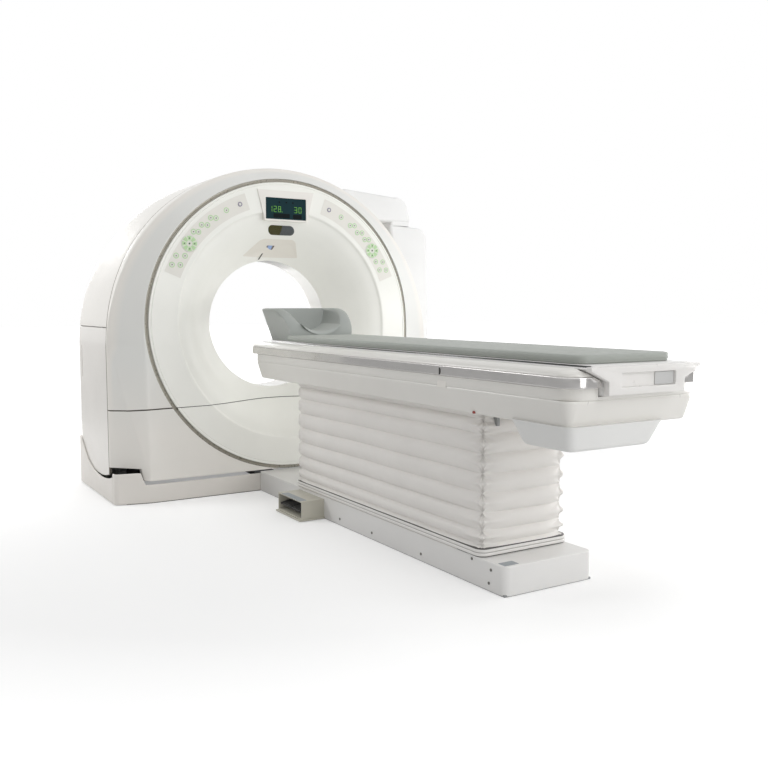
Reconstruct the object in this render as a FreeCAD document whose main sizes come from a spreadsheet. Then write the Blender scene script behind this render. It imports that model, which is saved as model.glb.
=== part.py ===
import FreeCAD, Part
import math
import os
import re
import Sketcher

V = FreeCAD.Vector
X_AXIS = V(1, 0, 0)
Y_AXIS = V(0, 1, 0)
Z_AXIS = V(0, 0, 1)

doc = FreeCAD.newDocument("Scanner")

# ---------------------------------------------------------------- driving sizes
# The origin lies on the floor, straight below the bore's centre, in the plane
# of the trim ring. X runs to the right seen from the table, Y into the
# gantry, Z up. The table lies on the -Y side.
SIZES = (
    # gantry as a whole
    ("iso_height", 937, "bore centre above the floor"),
    ("half_width", 1010, "half of the gantry's width over its side covers"),
    ("arch_centre", "=iso_height - 117", "height of the centre of the cover's arch"),
    ("rear_face", 700, "back of the gantry"),
    ("side_seam", 80, "depth of the seam between front and side covers"),
    ("top_seam", 200, "depth of the same seam at the top"),
    ("cover_wall", 5, "thickness of the moulded covers"),
    ("seam_gap", 2, "gap between neighbouring covers"),
    ("lean_toe", 90, "how far the front stands forward at its lower edge"),
    ("front_bottom", "=iso_height - ring_outer + 6", "lower edge of the front cover"),
    ("notch_bottom", "=front_bottom + 66", "lower edge of the front cover beside the corner blocks"),
    ("notch_width", "=ring_outer + 36", "half-width at which that lower edge steps up"),
    ("split_height", "=iso_height - 445", "height of the split of the front cover"),
    ("split_rise", 20, "how far the split arches up in the middle"),
    ("crease_width", "=half_width - 35", "half-width of the front cover's crease"),
    ("crease_depth", 52, "depth of the crease behind the ring"),
    ("crease_foot", "=ring_outer + 11", "half-width of the crease at the foot"),
    ("crease_belly", 21.5, "how far the crease bows out between shoulder and foot"),
    ("side_split", "=iso_height - 10", "height of the split of the side covers"),
    ("sweep_radius", "=iso_height - 115", "arc that the tilting side covers end in"),
    # dish and bore
    ("bore_radius", 375, "patient opening"),
    ("ring_outer", "=iso_height - 111", "outside of the trim ring"),
    ("ring_inner", "=ring_outer - 20", "inside of the trim ring"),
    ("ring_sunk", 6, "how deep the trim ring lies"),
    ("band_inner", "=bore_radius + 0.6265 * (ring_inner - bore_radius)", "inside of the flat control band"),
    ("band_proud", 8, "how far the control band stands forward"),
    ("brow_radius", "=bore_radius + 0.793 * (band_inner - bore_radius)", "radius of the dish's first bend"),
    ("brow_depth", 26, "depth of the dish's first bend"),
    ("fair_radius", "=bore_radius + 0.607 * (band_inner - bore_radius)", "radius of the dish's second bend"),
    ("fair_depth", 62, "depth of the dish's second bend"),
    ("bend_radius", "=bore_radius + 0.444 * (band_inner - bore_radius)", "radius at which the dish turns into the throat"),
    ("bend_depth", 105, "depth of that bend"),
    ("throat_depth", 250, "depth at which the dish reaches the bore"),
    ("window_depth", 410, "end of the scan window"),
    ("tunnel_end", 425, "end of the straight tunnel"),
    ("bell_radius", "=bore_radius + 185", "rear opening of the tunnel"),
    ("key_circle", "=(ring_inner + band_inner) / 2 - 2", "radius that the keys lie on"),
    ("post_circle", "=ring_inner - 13", "radius of the posts behind the front covers"),
    # display and fittings of the dish, heights from the bore's centre
    ("bezel_high", "=iso_height + ring_inner - 48", "upper edge of the display's bezel"),
    ("bezel_low", "=iso_height + ring_inner - 219", "lower edge of the display's bezel"),
    ("bezel_proud", 6, "how far the bezel stands before the control band"),
    ("screen_half", 126, "half-width of the display"),
    ("screen_low", "=bezel_low + 10", "lower edge of the display"),
    ("screen_high", "=screen_low + 120", "upper edge of the display"),
    ("lamp_middle", "=iso_height + 541", "height of the lamp window's middle"),
    ("plate_high", "=iso_height + 493", "upper edge of the front plate"),
    ("plate_low", "=iso_height + 393", "lower edge of the front plate"),
    # tilt axis and stands
    ("tilt_depth", 300, "depth of the tilt axis"),
    ("stand_inside", "=frame_radius + 25", "inner face of the stands"),
    ("stand_web", 42, "thickness of a stand's inner web"),
    ("stand_thick", 120, "thickness of a stand"),
    ("stand_head", 80, "radius of the head of a stand"),
    ("trunnion_radius", 60, "radius of the trunnion shafts"),
    ("journal_gap", 0.05, "radial play of a shaft in its bearing"),
    ("floor_plate", 20, "thickness of the floor frame"),
    # base
    ("base_half", "=half_width + 12", "half-width of the base over its covers"),
    ("base_front", -95, "front of the base"),
    ("base_rear", 705, "rear of the base"),
    ("base_top", 100, "top of the base's front wall"),
    ("block_top", 165, "top of the corner blocks"),
    ("block_inside", "=ring_outer + 64", "inner side of the corner blocks"),
    ("base_flat", "=ring_outer + 8", "half-width of the straight part of the base's front"),
    ("base_turn", 35, "how far the base's front turns back towards its corners"),
    ("base_wall", 6, "wall of the base covers"),
    ("toe_gap", 3, "gap between the covers and the floor"),
    ("seat_gap", 0.3, "gap of a cover on its seat"),
    # rotor
    ("rotor_radius", "=frame_radius - 35", "outside of the rotor"),
    ("rotor_bore", "=bore_radius + 30", "bore of the rotor"),
    ("rotor_front", 290, "front of the rotor plate"),
    ("rotor_plate", 30, "thickness of the rotor plate"),
    ("hub_radius", "=rotor_bore + 30", "outside of the rotor hub"),
    ("hub_end", 415, "end of the rotor hub"),
    ("frame_front", 420, "front of the tilting frame's ring"),
    ("frame_plate", 40, "thickness of the tilting frame's ring"),
    ("frame_radius", "=ring_inner - 1", "outside of the tilting frame's ring"),
    ("frame_bore", "=hub_radius + 10", "bore of the tilting frame's ring"),
    # table base
    ("table_half", 215, "half-width of the table's base"),
    ("table_rear", -2250, "rear end of the table's base"),
    ("table_base_top", 112, "top of the table's base cover"),
    ("table_corner", 20, "corner radius of the table's base"),
    ("switch_out", 337, "outer side of the foot switch from the middle"),
    ("switch_rear", -868, "rear end of the foot switch"),
    ("switch_front", -600, "front end of the foot switch"),
    ("switch_high", 98, "top of the foot switch"),
    ("pedal_width", 124, "width of a pedal"),
    # bellows
    ("bellows_front", -560, "front of the bellows"),
    ("bellows_rear", "=table_rear + 140", "rear of the bellows"),
    ("bellows_low", 145, "lower end of the bellows"),
    ("bellows_high", "=frame_bottom - seat_gap", "upper end of the bellows"),
    ("bellows_corner", 60, "corner radius of the bellows"),
    ("corner_folds", 4, "flat folds round each corner of the bellows"),
    ("pleat_count", 7, "number of pleats"),
    ("pleat_depth", 22, "depth of a pleat"),
    ("bellows_wall", 3, "wall of the bellows"),
    # lifting frame
    ("frame_half", "=table_half + 83", "half-width of the lifting frame"),
    ("lift_front", -240, "front of the lifting frame's body"),
    ("lift_rear", -2630, "rear of the lifting frame's body"),
    ("frame_bottom", "=board_high - 202", "underside of the lifting frame"),
    ("frame_crease", "=board_high - 119", "height of the crease in its sides"),
    ("tuck", 22, "how far its sides tuck in below the crease"),
    ("strip_low", "=board_high - 71", "lower edge of the bright strip"),
    ("strip_high", "=strip_low + 36", "upper edge of the bright strip"),
    ("strip_half", "=frame_half + 7", "half-width over the bright strip"),
    ("strip_front", -170, "front end of the bright strip"),
    ("strip_rear", -2665, "rear end of the bright strip"),
    ("rim_top", "=board_high - 8", "top of the lifting frame's rim"),
    # tabletop
    ("keel_half", 171, "half-width of the tabletop's keel"),
    ("keel_low", "=board_high - 96", "underside of the tabletop"),
    ("keel_high", "=board_high - 48", "height where the keel flares out"),
    ("flare_half", 249, "half-width of the flare"),
    ("flare_high", "=board_high - 11", "height of the flare's edge"),
    ("board_half", 225, "half-width of the lying surface"),
    ("board_high", "=iso_height - 80", "height of the lying surface"),
    ("board_front", -180, "front end of the tabletop"),
    ("board_rear", -2668, "rear end of the tabletop"),
    ("slide_gap", 4, "gap between the tabletop and its channel"),
    ("cushion_half", 210, "half-width of the mattress"),
    ("cushion_thick", 28, "thickness of the mattress"),
    ("cushion_front", -455, "front end of the mattress"),
    ("cushion_rear", -2595, "rear end of the mattress"),
    ("cushion_seat", 0.4, "gap under soft pieces"),
    # scissor lift
    ("arm_length", 1100, "pivot to pivot"),
    ("arm_low", 100, "height of the lower pivots"),
    ("arm_high", "=frame_bottom - 35", "height of the upper pivots"),
    ("arm_pivot", -1880, "depth of the fixed pivots"),
    ("arm_height", 40, "depth of an arm"),
    ("roller_radius", 22, "radius of the rollers"),
    ("roller_play", 9, "play of the rollers over the lift's travel"),
    ("arm_thick", 12, "thickness of an arm"),
    ("pin_radius", 14, "radius of the pivot pins"),
    ("outer_arm", 160, "outer face of the outer arms from the middle"),
)

sheet = doc.addObject("Spreadsheet::Sheet", "Sizes")
for row, (name, value, note) in enumerate(SIZES, 1):
    sheet.set(f"A{row}", name)
    sheet.set(f"C{row}", note)
    sheet.setAlias(f"B{row}", name)
for row, (name, value, note) in enumerate(SIZES, 1):
    sheet.set(f"B{row}", str(value))
doc.recompute()
NAMES = {name for name, value, note in SIZES}

# keys that travel: name, degrees from the horizontal, radius, height over the band
TRAVELLING = (("stop_button", 67.3, 13, 4), ("direction_pad", 37.5, 46.5, 3))


class Sizes:
    """Reads a size from the sheet by its name."""

    def __getattr__(self, name):
        return float(sheet.get(name))


s = Sizes()
nodes = []


# ---------------------------------------------------------------- helpers
def cells(text):
    """An expression in which each size's name points at its cell."""
    def cell(word):
        return "Sizes." + word.group() if word.group() in NAMES else word.group()
    return re.sub(r"[a-z_]+", cell, str(text))


def number(text):
    """The present value of an expression."""
    value = sheet.evalExpression(cells(text))
    return float(getattr(value, "Value", value))


def bind(thing, **properties):
    """Ties properties to the sheet; an underscore in a name stands for a dot."""
    for name, text in properties.items():
        thing.setExpression(name.replace("_", "."), cells(text))
    return thing


def keep(thing, name):
    """Marks an object as a finished sub-part."""
    thing.Label = name
    nodes.append(thing)
    return thing


def part_body(name):
    return doc.addObject("PartDesign::Body", name)


def outline(body, plane, *points):
    """A closed sketch through points; ("via", u, v) bends an edge into an arc."""
    sketch = body.newObject("Sketcher::SketchObject", body.Name + "_outline")
    planes = {feature.Role: feature for feature in body.Origin.OriginFeatures}
    sketch.AttachmentSupport = [(planes[plane + "_Plane"], "")]
    sketch.MapMode = "FlatFace"
    corners = [point for point in points if len(point) == 2]
    spots = [V(number(u), number(v), 0) for u, v in corners]
    position = 0
    for point in points:
        if len(point) == 2:
            start = spots[position]
            end = spots[(position + 1) % len(spots)]
            follower = points[(points.index(point) + 1) % len(points)]
            if len(follower) == 3:
                via = V(number(follower[1]), number(follower[2]), 0)
                sketch.addGeometry(turning_arc(start, via, end))
            else:
                sketch.addGeometry(Part.LineSegment(start, end))
            position += 1
    edges = list(range(len(spots)))
    for edge in edges:
        geometry = sketch.Geometry[edge]
        following = (edge + 1) % len(spots)
        if isinstance(geometry, Part.ArcOfCircle):
            tail = 2 if geometry.EndPoint.distanceToPoint(spots[following]) < 1e-6 else 1
        else:
            tail = 2
        neighbour = sketch.Geometry[following]
        head = 1 if neighbour.StartPoint.distanceToPoint(spots[following]) < 1e-6 else 2
        sketch.addConstraint(Sketcher.Constraint("Coincident", edge, tail, following, head))
        place_point(sketch, edge, 3 - tail, corners[edge])
    bends = [point for point in points if len(point) == 3]
    for point in bends:
        before = points[points.index(point) - 1]
        edge = corners.index(before)
        via = V(number(point[1]), number(point[2]), 0)
        spot = sketch.addGeometry(Part.Point(via), True)
        place_point(sketch, spot, 1, point[1:])
        sketch.addConstraint(Sketcher.Constraint("PointOnObject", spot, 1, edge))
    return sketch


def turning_arc(start, via, end):
    """The arc through three points, always drawn anticlockwise."""
    circle = Part.Arc(start, via, end).toShape().Curve
    centre = circle.Center
    if (via - start).cross(end - via).z < 0:
        start, end = end, start
    low = math.atan2(start.y - centre.y, start.x - centre.x)
    high = math.atan2(end.y - centre.y, end.x - centre.x)
    if high <= low:
        high += 2 * math.pi
    return Part.ArcOfCircle(Part.Circle(centre, Z_AXIS, circle.Radius), low, high)


def place_point(sketch, item, end, spot):
    """Holds one point of a sketch at a place given by two expressions."""
    for kind, text in zip(("DistanceX", "DistanceY"), spot):
        rule = Sketcher.Constraint(kind, -1, 1, item, end, number(text))
        index = sketch.addConstraint(rule)
        sketch.setExpression(f"Constraints[{index}]", cells(text))


def rings(body, plane, centre, *radii):
    """A sketch of circles about one centre."""
    sketch = body.newObject("Sketcher::SketchObject", body.Name + "_rings")
    planes = {feature.Role: feature for feature in body.Origin.OriginFeatures}
    sketch.AttachmentSupport = [(planes[plane + "_Plane"], "")]
    sketch.MapMode = "FlatFace"
    spot = V(number(centre[0]), number(centre[1]), 0)
    for radius in radii:
        index = sketch.addGeometry(Part.Circle(spot, Z_AXIS, number(radius)))
        rule = Sketcher.Constraint("Radius", index, number(radius))
        held = sketch.addConstraint(rule)
        sketch.setExpression(f"Constraints[{held}]", cells(radius))
        place_point(sketch, index, 3, centre)
    return sketch


def run(body, kind, sketch, start, length):
    """Pads or pockets a sketch from start, measured along its plane's normal."""
    feature = body.newObject("PartDesign::" + kind, body.Name + "_" + kind.lower())
    feature.Profile = sketch
    bind(sketch, AttachmentOffset_Base_z=start)
    bind(feature, Length=length)
    feature.Reversed = kind == "Pocket"
    doc.recompute()
    return feature


def block(name, x_low, x_high, y_low, y_high, z_low, z_high):
    """A rectangular block between three pairs of faces."""
    box = doc.addObject("Part::Box", name)
    bind(box, Length=f"({x_high}) - ({x_low})", Width=f"({y_high}) - ({y_low})")
    bind(box, Height=f"({z_high}) - ({z_low})")
    bind(box, Placement_Base_x=x_low, Placement_Base_y=y_low, Placement_Base_z=z_low)
    return box


def round_bar(name, radius, length, start, axis):
    """A round bar from start along an axis."""
    bar = doc.addObject("Part::Cylinder", name)
    bar.Placement.Rotation = FreeCAD.Rotation(Z_AXIS, axis)
    bind(bar, Radius=radius, Height=length)
    bind(bar, Placement_Base_x=start[0], Placement_Base_y=start[1], Placement_Base_z=start[2])
    return bar


def cut(name, base, tool):
    result = doc.addObject("Part::Cut", name)
    result.Base = base
    result.Tool = tool
    return result


def fuse(name, *pieces):
    result = doc.addObject("Part::MultiFuse", name)
    result.Shapes = list(pieces)
    return result


def group(name, *pieces):
    """Several separate solids that share one sub-part."""
    result = doc.addObject("Part::Compound", name)
    result.Links = list(pieces)
    return result


def form(name, shape):
    """A free form made with the geometry kernel's own functions."""
    feature = doc.addObject("Part::Feature", name)
    feature.Shape = shape
    feature.Placement = FreeCAD.Placement()
    return feature


def slab(x_low, x_high, y_low, y_high, z_low, z_high):
    """A plain block as a bare shape, for cutting."""
    size = (x_high - x_low, y_high - y_low, z_high - z_low)
    return Part.makeBox(*size, V(x_low, y_low, z_low))


def polygon(points):
    return Part.makePolygon([V(*point) for point in points] + [V(*points[0])])


def prism(points, direction):
    """A solid from a closed polygon carried along a direction."""
    return Part.Face(polygon(points)).extrude(direction)


def turned(points):
    """Turns a closed profile of (radius, depth) about the bore's axis."""
    spots = [V(radius, depth, s.iso_height) for radius, depth in points]
    face = Part.Face(Part.makePolygon(spots + spots[:1]))
    return face.revolve(V(0, 0, s.iso_height), Y_AXIS, 360)


def ring_sector(radius_low, radius_high, y_low, y_high, middle, half, centre):
    """A piece of a ring about the Y axis; the angles are degrees from +X."""
    def spot(radius, degrees):
        angle = math.radians(degrees)
        return V(radius * math.cos(angle), y_low, centre + radius * math.sin(angle))
    low, high = middle - half, middle + half
    outer = Part.Arc(spot(radius_high, low), spot(radius_high, middle),
                     spot(radius_high, high)).toShape()
    inner = Part.Arc(spot(radius_low, high), spot(radius_low, middle),
                     spot(radius_low, low)).toShape()
    ends = [Part.makeLine(spot(radius_high, high), spot(radius_low, high)),
            Part.makeLine(spot(radius_low, low), spot(radius_high, low))]
    face = Part.Face(Part.Wire([outer, ends[0], inner, ends[1]]))
    return face.extrude(V(0, y_high - y_low, 0))


# ---------------------------------------------------------------- the gantry's base
def base_frame():
    """Welded floor plate with two windows, a front beam and a rear beam."""
    body = part_body("floor_plate_body")
    half = "stand_inside + stand_thick + 10"
    front = "base_front + base_wall + seat_gap"
    rear = "base_rear - base_wall - seat_gap"
    turn = f"{front} + 0.21 * ({half} - base_flat + 2)"
    plan = outline(body, "XY", ("-base_flat + 2", front), ("base_flat - 2", front),
                   (half, turn), (half, rear), (f"-({half})", rear), (f"-({half})", turn))
    run(body, "Pad", plan, "0", "floor_plate")
    for side in ("", "-"):
        window = outline(body, "XY", (f"{side}70", "40"), (f"{side}(stand_inside - 30)", "40"),
                         (f"{side}(stand_inside - 30)", "600"), (f"{side}70", "600"))
        run(body, "Pocket", window, "-1", "floor_plate + 2")
    reach = "(stand_inside - 30)"
    beam = outline(body, "XY", (f"-{reach}", front), (reach, front),
                   (reach, f"{front} + 55"), (f"-{reach}", f"{front} + 55"))
    run(body, "Pad", beam, "floor_plate", "50")
    beam = outline(body, "XY", (f"-{reach}", f"{rear} - 75"), (reach, f"{rear} - 75"),
                   (reach, f"{rear} - 5"), (f"-{reach}", f"{rear} - 5"))
    run(body, "Pad", beam, "floor_plate", "75")
    keep(body, "base_frame")


def stand(name, side):
    """Cast stand that leans back, so that the tilting covers swing past it."""
    body = part_body(name + "_body")
    head = "stand_head"
    profile = outline(
        body, "YZ",
        ("tilt_depth + 100", "floor_plate"), ("tilt_depth + 118", "floor_plate + 70"),
        ("tilt_depth + 30", "200"), ("tilt_depth - 38", "376"),
        (f"tilt_depth - {head}", "600"), (f"tilt_depth - {head}", "iso_height"),
        ("via", "tilt_depth", f"iso_height + {head}"),
        (f"tilt_depth + {head}", "iso_height"), (f"tilt_depth + {head}", "600"),
        ("tilt_depth + 120", "376"), ("tilt_depth + 190", "200"),
        ("tilt_depth + 285", "floor_plate + 70"), ("tilt_depth + 300", "floor_plate + 25"),
        ("tilt_depth + 340", "floor_plate + 25"), ("tilt_depth + 340", "floor_plate"))
    start = "stand_inside" if side > 0 else "-stand_inside - stand_thick"
    run(body, "Pad", profile, start, "stand_thick")
    flange = rings(body, "YZ", ("tilt_depth", "iso_height"), "stand_head - 2")
    run(body, "Pad", flange, "stand_inside - 8" if side > 0 else "-stand_inside", "8")
    bore = rings(body, "YZ", ("tilt_depth", "iso_height"), "trunnion_radius + journal_gap")
    run(body, "Pocket", bore, f"{start} - 10", "stand_thick + 20")
    swept = outline(body, "YZ", ("tilt_depth + 205", "floor_plate - 1"),
                    ("tilt_depth + 203", "floor_plate + 70"), ("tilt_depth + 115", "200"),
                    ("tilt_depth + 47", "376"), ("tilt_depth - 10", "560"),
                    ("tilt_depth - 100", "560"), ("tilt_depth - 100", "floor_plate - 1"))
    outer = "stand_inside + stand_web" if side > 0 else "-stand_inside - stand_thick"
    run(body, "Pocket", swept, outer, "stand_thick - stand_web")
    recess = outline(body, "YZ", ("tilt_depth - 50", "500"), ("tilt_depth + 55", "500"),
                     ("tilt_depth + 50", "iso_height - 120"),
                     ("tilt_depth - 50", "iso_height - 120"))
    outside = "stand_inside + stand_thick - 40" if side > 0 else "-stand_inside - stand_thick"
    run(body, "Pocket", recess, outside, "40")
    keep(body, name)


def tilt_gearmotor():
    """Flat reducer round the left trunnion with its motor below."""
    start = "-stand_inside - stand_thick - 38"
    inner = "-stand_inside - stand_thick - 24"
    case = round_bar("gear_case", "110", "24", (inner, "tilt_depth", "iso_height"), X_AXIS)
    spot = (start, "tilt_depth", "iso_height - 140")
    motor = round_bar("motor_case", "65", "38", spot, X_AXIS)
    fan_spot = ("-stand_inside - stand_thick - 45", *spot[1:])
    fan = round_bar("motor_fan", "48", "7", fan_spot, X_AXIS)
    whole = fuse("gear_and_motor", case, motor, fan)
    hole = round_bar("gear_hole", "trunnion_radius + journal_gap", "60",
                     ("-stand_inside - stand_thick - 60", "tilt_depth", "iso_height"), X_AXIS)
    keep(cut("gear_unit", whole, hole), "tilt_gearmotor")


def hexagon_head(name, radius, height, spot, axis):
    """Hexagon head that stands on a face and points along an axis."""
    head = doc.addObject("Part::Prism", name)
    head.Polygon = 6
    bind(head, Circumradius=str(radius), Height=str(height))
    bind(head, Placement_Base_x=spot[0], Placement_Base_y=spot[1], Placement_Base_z=spot[2])
    head.Placement.Rotation = FreeCAD.Rotation(Z_AXIS, axis)
    return head


def anchor_bolts():
    """Hexagon heads that hold the floor frame down."""
    heads = []
    for side in (-1, 1):
        for index, depth in enumerate(("0", "tilt_depth - 50", "base_rear - 40")):
            spot = (f"{side} * (stand_inside + 50)", depth, "floor_plate")
            tag = f"bolt_{'lr'[side > 0]}{index}"
            heads.append(hexagon_head(tag, 14, 12, spot, Z_AXIS))
    keep(group("bolts", *heads), "anchor_bolts")


def mirrored(point):
    """The same point of an outline on the left side."""
    return (*point[:-2], f"-({point[-2]})", point[-1])


def base_front_cover():
    """Front wall of the base, turned back to its corners and raised there to blocks."""
    body = part_body("base_front_body")
    corner = "base_front + base_turn"
    outer = (("base_flat", "base_front"), ("base_half - 17", corner),
             ("via", "base_half - 4", f"{corner} + 7"), ("base_half", f"{corner} + 22"),
             ("base_half", f"{corner} + 40"))
    inner = (("base_flat - 1", "base_front + base_wall"),
             ("base_half - 20", f"{corner} + base_wall"),
             ("via", "base_half - 9", f"{corner} + 12"),
             ("base_half - base_wall", f"{corner} + 24"),
             ("base_half - base_wall", f"{corner} + 40"))
    ring = list(outer) + list(reversed(inner))
    ring += [mirrored(point) for point in inner + tuple(reversed(outer))]
    plan = outline(body, "XY", *ring)
    run(body, "Pad", plan, "toe_gap", "block_top - toe_gap")
    high = "block_top + 5"
    gap = outline(body, "XZ", ("block_inside - 25", "base_top"), ("block_inside", high),
                  ("-block_inside", high), ("-block_inside + 25", "base_top"))
    run(body, "Pocket", gap, "0", "-base_front + 20")
    keep(body, "base_front_cover")


def base_side_covers():
    """Side walls of the base, scooped out under the tilting side covers."""
    walls = []
    front = "base_front + base_turn + 40"
    thick = "(base_half - half_width - seam_gap)"
    for name, start in (("left", "-base_half"), ("right", f"base_half - {thick}")):
        body = part_body(name + "_base_wall")
        wall = outline(body, "YZ", (front, "toe_gap"), ("base_rear", "toe_gap"),
                       ("base_rear", "block_top + 122"),
                       ("via", "tilt_depth - 95", "block_top - 60"),
                       (front, "block_top - 24"))
        run(body, "Pad", wall, start, thick)
        walls.append(body)
    keep(group("base_walls", *walls), "base_side_covers")


def base_rear_cover():
    """Plain wall across the back of the base."""
    body = part_body("base_rear_body")
    half = "half_width + seam_gap"
    wall = outline(body, "XZ", (f"-({half})", "toe_gap"), (half, "toe_gap"),
                   (half, "base_top + 30"), (f"-({half})", "base_top + 30"))
    run(body, "Pad", wall, "-base_rear", "base_wall")
    keep(body, "base_rear_cover")


# ---------------------------------------------------------------- front of the gantry
def lean(height):
    """How far the front stands forward at a height below the bore's centre."""
    return s.lean_toe * max(0, s.iso_height - height) / (s.iso_height - s.front_bottom)


def leaning(shape):
    """Carries the lower half of an upright shape forward with the front."""
    big = 4000
    upper = shape.common(slab(-big, big, -big, big, s.iso_height, big))
    lower = shape.common(slab(-big, big, -big, big, -big, s.iso_height))
    slope = s.lean_toe / (s.iso_height - s.front_bottom)
    shear = FreeCAD.Matrix()
    shear.A23 = slope
    shear.A24 = -slope * s.iso_height
    return upper.fuse(lower.transformGeometry(shear)).removeSplitter()


def arch(half, centre, depth, foot, foot_half, foot_depth, belly=0):
    """A wire over the top of the cover and down to its foot; its legs may bow out."""
    left = V(-half, depth, centre)
    right = V(half, depth, centre)
    foot_left = V(-foot_half, foot_depth, foot)
    foot_right = V(foot_half, foot_depth, foot)
    crown = Part.Arc(left, V(0, depth, centre + half), right).toShape()
    legs = [Part.makeLine(right, foot_right), Part.makeLine(foot_right, foot_left),
            Part.makeLine(foot_left, left)]
    if belly:
        legs[0] = Part.Arc(right, (right + foot_right) / 2 + V(belly, 0, 0),
                           foot_right).toShape()
        legs[2] = Part.Arc(foot_left, (left + foot_left) / 2 - V(belly, 0, 0),
                           left).toShape()
    return Part.Wire([crown] + legs)


def front_block(inset, foot):
    """The front cover's form as a solid: flat round the ring, creased outside it."""
    brow = s.ring_outer + 4 - inset
    toe = lean(foot)
    depth = inset
    ring = arch(brow, s.iso_height, depth, foot, s.crease_foot - inset, depth - toe)
    crease = arch(s.crease_width - inset, s.arch_centre + 15, s.crease_depth + inset, foot,
                  s.crease_foot + 1 - inset, depth - toe + 1, s.crease_belly)
    side = s.half_width - inset
    seam = arch(side, s.arch_centre, s.side_seam, foot, side, s.side_seam)
    rear = arch(side, s.arch_centre, s.rear_face, foot, side, s.rear_face)
    skin = Part.makeLoft([ring, crease, seam, rear], False, True)
    crown = ring.Edges[0]
    chord = Part.makeLine(V(-brow, depth, s.iso_height), V(brow, depth, s.iso_height))
    brow_face = Part.Face(Part.Wire([crown, chord]))
    legs = [edge for edge in ring.Edges if not edge.isSame(crown)]
    toe_face = Part.Face(Part.Wire(Part.__sortEdges__(legs + [chord])))
    back_face = Part.Face(rear)
    shell = Part.makeShell(skin.Faces + [brow_face, toe_face, back_face])
    shell.sewShape()
    solid = Part.makeSolid(shell)
    if solid.Volume < 0:
        solid.reverse()
    return solid


def split_tool(above):
    """Everything above, or below, the gently arched split of the front."""
    wide = 1.2 * s.half_width
    middle = s.split_height + (s.seam_gap / 2 if above else -s.seam_gap / 2)
    edge = Part.Arc(V(-wide, 0, middle - 0.5 * s.split_rise),
                    V(0, 0, middle + 0.5 * s.split_rise),
                    V(wide, 0, middle - 0.5 * s.split_rise)).toShape()
    far = 2500 if above else -2500
    corners = [V(wide, 0, middle - 0.5 * s.split_rise), V(wide, 0, middle + far),
               V(-wide, 0, middle + far), V(-wide, 0, middle - 0.5 * s.split_rise)]
    face = Part.Face(Part.Wire([edge] + Part.makePolygon(corners).Edges))
    tool = face.extrude(V(0, 3000, 0))
    tool.translate(V(0, -1500, 0))
    return tool


def seam_tool(gap):
    """Everything behind the slanted seam between front and side covers."""
    wide = 1.2 * s.half_width
    top = s.arch_centre + s.half_width
    points = ((s.side_seam, -50), (s.side_seam, s.iso_height), (s.top_seam, top + 3),
              (s.top_seam, top + 90), (1500, top + 90), (1500, -50))
    tool = prism([(-wide, y + gap, z) for y, z in points], V(2 * wide, 0, 0))
    return tool


def disc(radius, y_low, y_high):
    """A round tool about the bore's axis."""
    return Part.makeCylinder(radius, y_high - y_low, V(0, y_low, s.iso_height), Y_AXIS)


def front_covers():
    """Upper and lower front cover, one moulded skin split across."""
    wall = s.cover_wall
    outer = front_block(0, s.front_bottom)
    inner = front_block(wall, s.front_bottom - 40)
    skin = outer.cut(inner).cut(seam_tool(0))
    opening = disc(s.ring_outer, -400, 400)
    deep = s.ring_sunk + 8 + wall
    seat = disc(s.ring_outer + wall, 0.5 * wall, deep).cut(disc(s.ring_outer, -9, deep - wall))
    seat = leaning(seat.cut(disc(s.ring_inner - 6, -400, 400)))
    skin = skin.cut(opening)
    step = [(s.notch_width - 12, s.front_bottom - 20), (s.notch_width + 13, s.notch_bottom),
            (1.2 * s.half_width, s.notch_bottom), (1.2 * s.half_width, s.front_bottom - 20)]
    for side in (-1, 1):
        points = [(side * x, -400, z) for x, z in step]
        skin = skin.cut(prism(points, V(0, 1500, 0)))
    floor = slab(-2000, 2000, -900, 900, s.front_bottom, 3000)
    whole = skin.fuse(seat.common(floor))
    keep(form("front_skin_upper", whole.common(split_tool(True))), "front_cover")
    keep(form("front_skin_lower", whole.common(split_tool(False))), "lower_front_cover")


def dish_profile():
    """Front line of the dish from its rim to the throat, as (radius, depth)."""
    return ((s.ring_inner, -s.band_proud), (s.band_inner + 4, -s.band_proud),
            (s.band_inner, 0), (s.brow_radius, s.brow_depth), (s.fair_radius, s.fair_depth),
            (s.bend_radius, s.bend_depth), (s.bore_radius, s.throat_depth))


def upright_dish():
    """The whole dish before it leans: control band, curved cone and throat."""
    wall = s.cover_wall
    front = dish_profile()
    back = ((s.bore_radius + 1.3 * wall, s.throat_depth),
            (s.bend_radius + 0.77 * wall, s.bend_depth + 0.64 * wall),
            (s.fair_radius + 0.6 * wall, s.fair_depth + 0.8 * wall),
            (s.brow_radius + 0.5 * wall, s.brow_depth + 0.86 * wall),
            (s.band_inner + 0.5 * wall, 0.86 * wall),
            (s.band_inner + 4 + wall, wall - s.band_proud),
            (s.ring_inner - wall, wall - s.band_proud),
            (s.ring_inner - wall, s.ring_sunk + 7.7), (s.ring_inner, s.ring_sunk + 7.7))
    return turned(front + back)


def key_holes(shape):
    """Opens the holes for the travelling keys on both sides."""
    for name, degrees, radius, proud in TRAVELLING:
        angle = math.radians(degrees)
        across = s.key_circle * math.cos(angle)
        up = s.iso_height + s.key_circle * math.sin(angle)
        for side in (-1, 1):
            hole = Part.makeCylinder(radius + s.seat_gap, 150, V(side * across, -100, up), Y_AXIS)
            shape = shape.cut(hole)
    return shape


def dish():
    whole = key_holes(leaning(upright_dish()))
    keep(form("dish_skin_upper", whole.common(split_tool(True))), "front_dish_upper")
    keep(form("dish_skin_lower", whole.common(split_tool(False))), "front_dish_lower")


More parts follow.
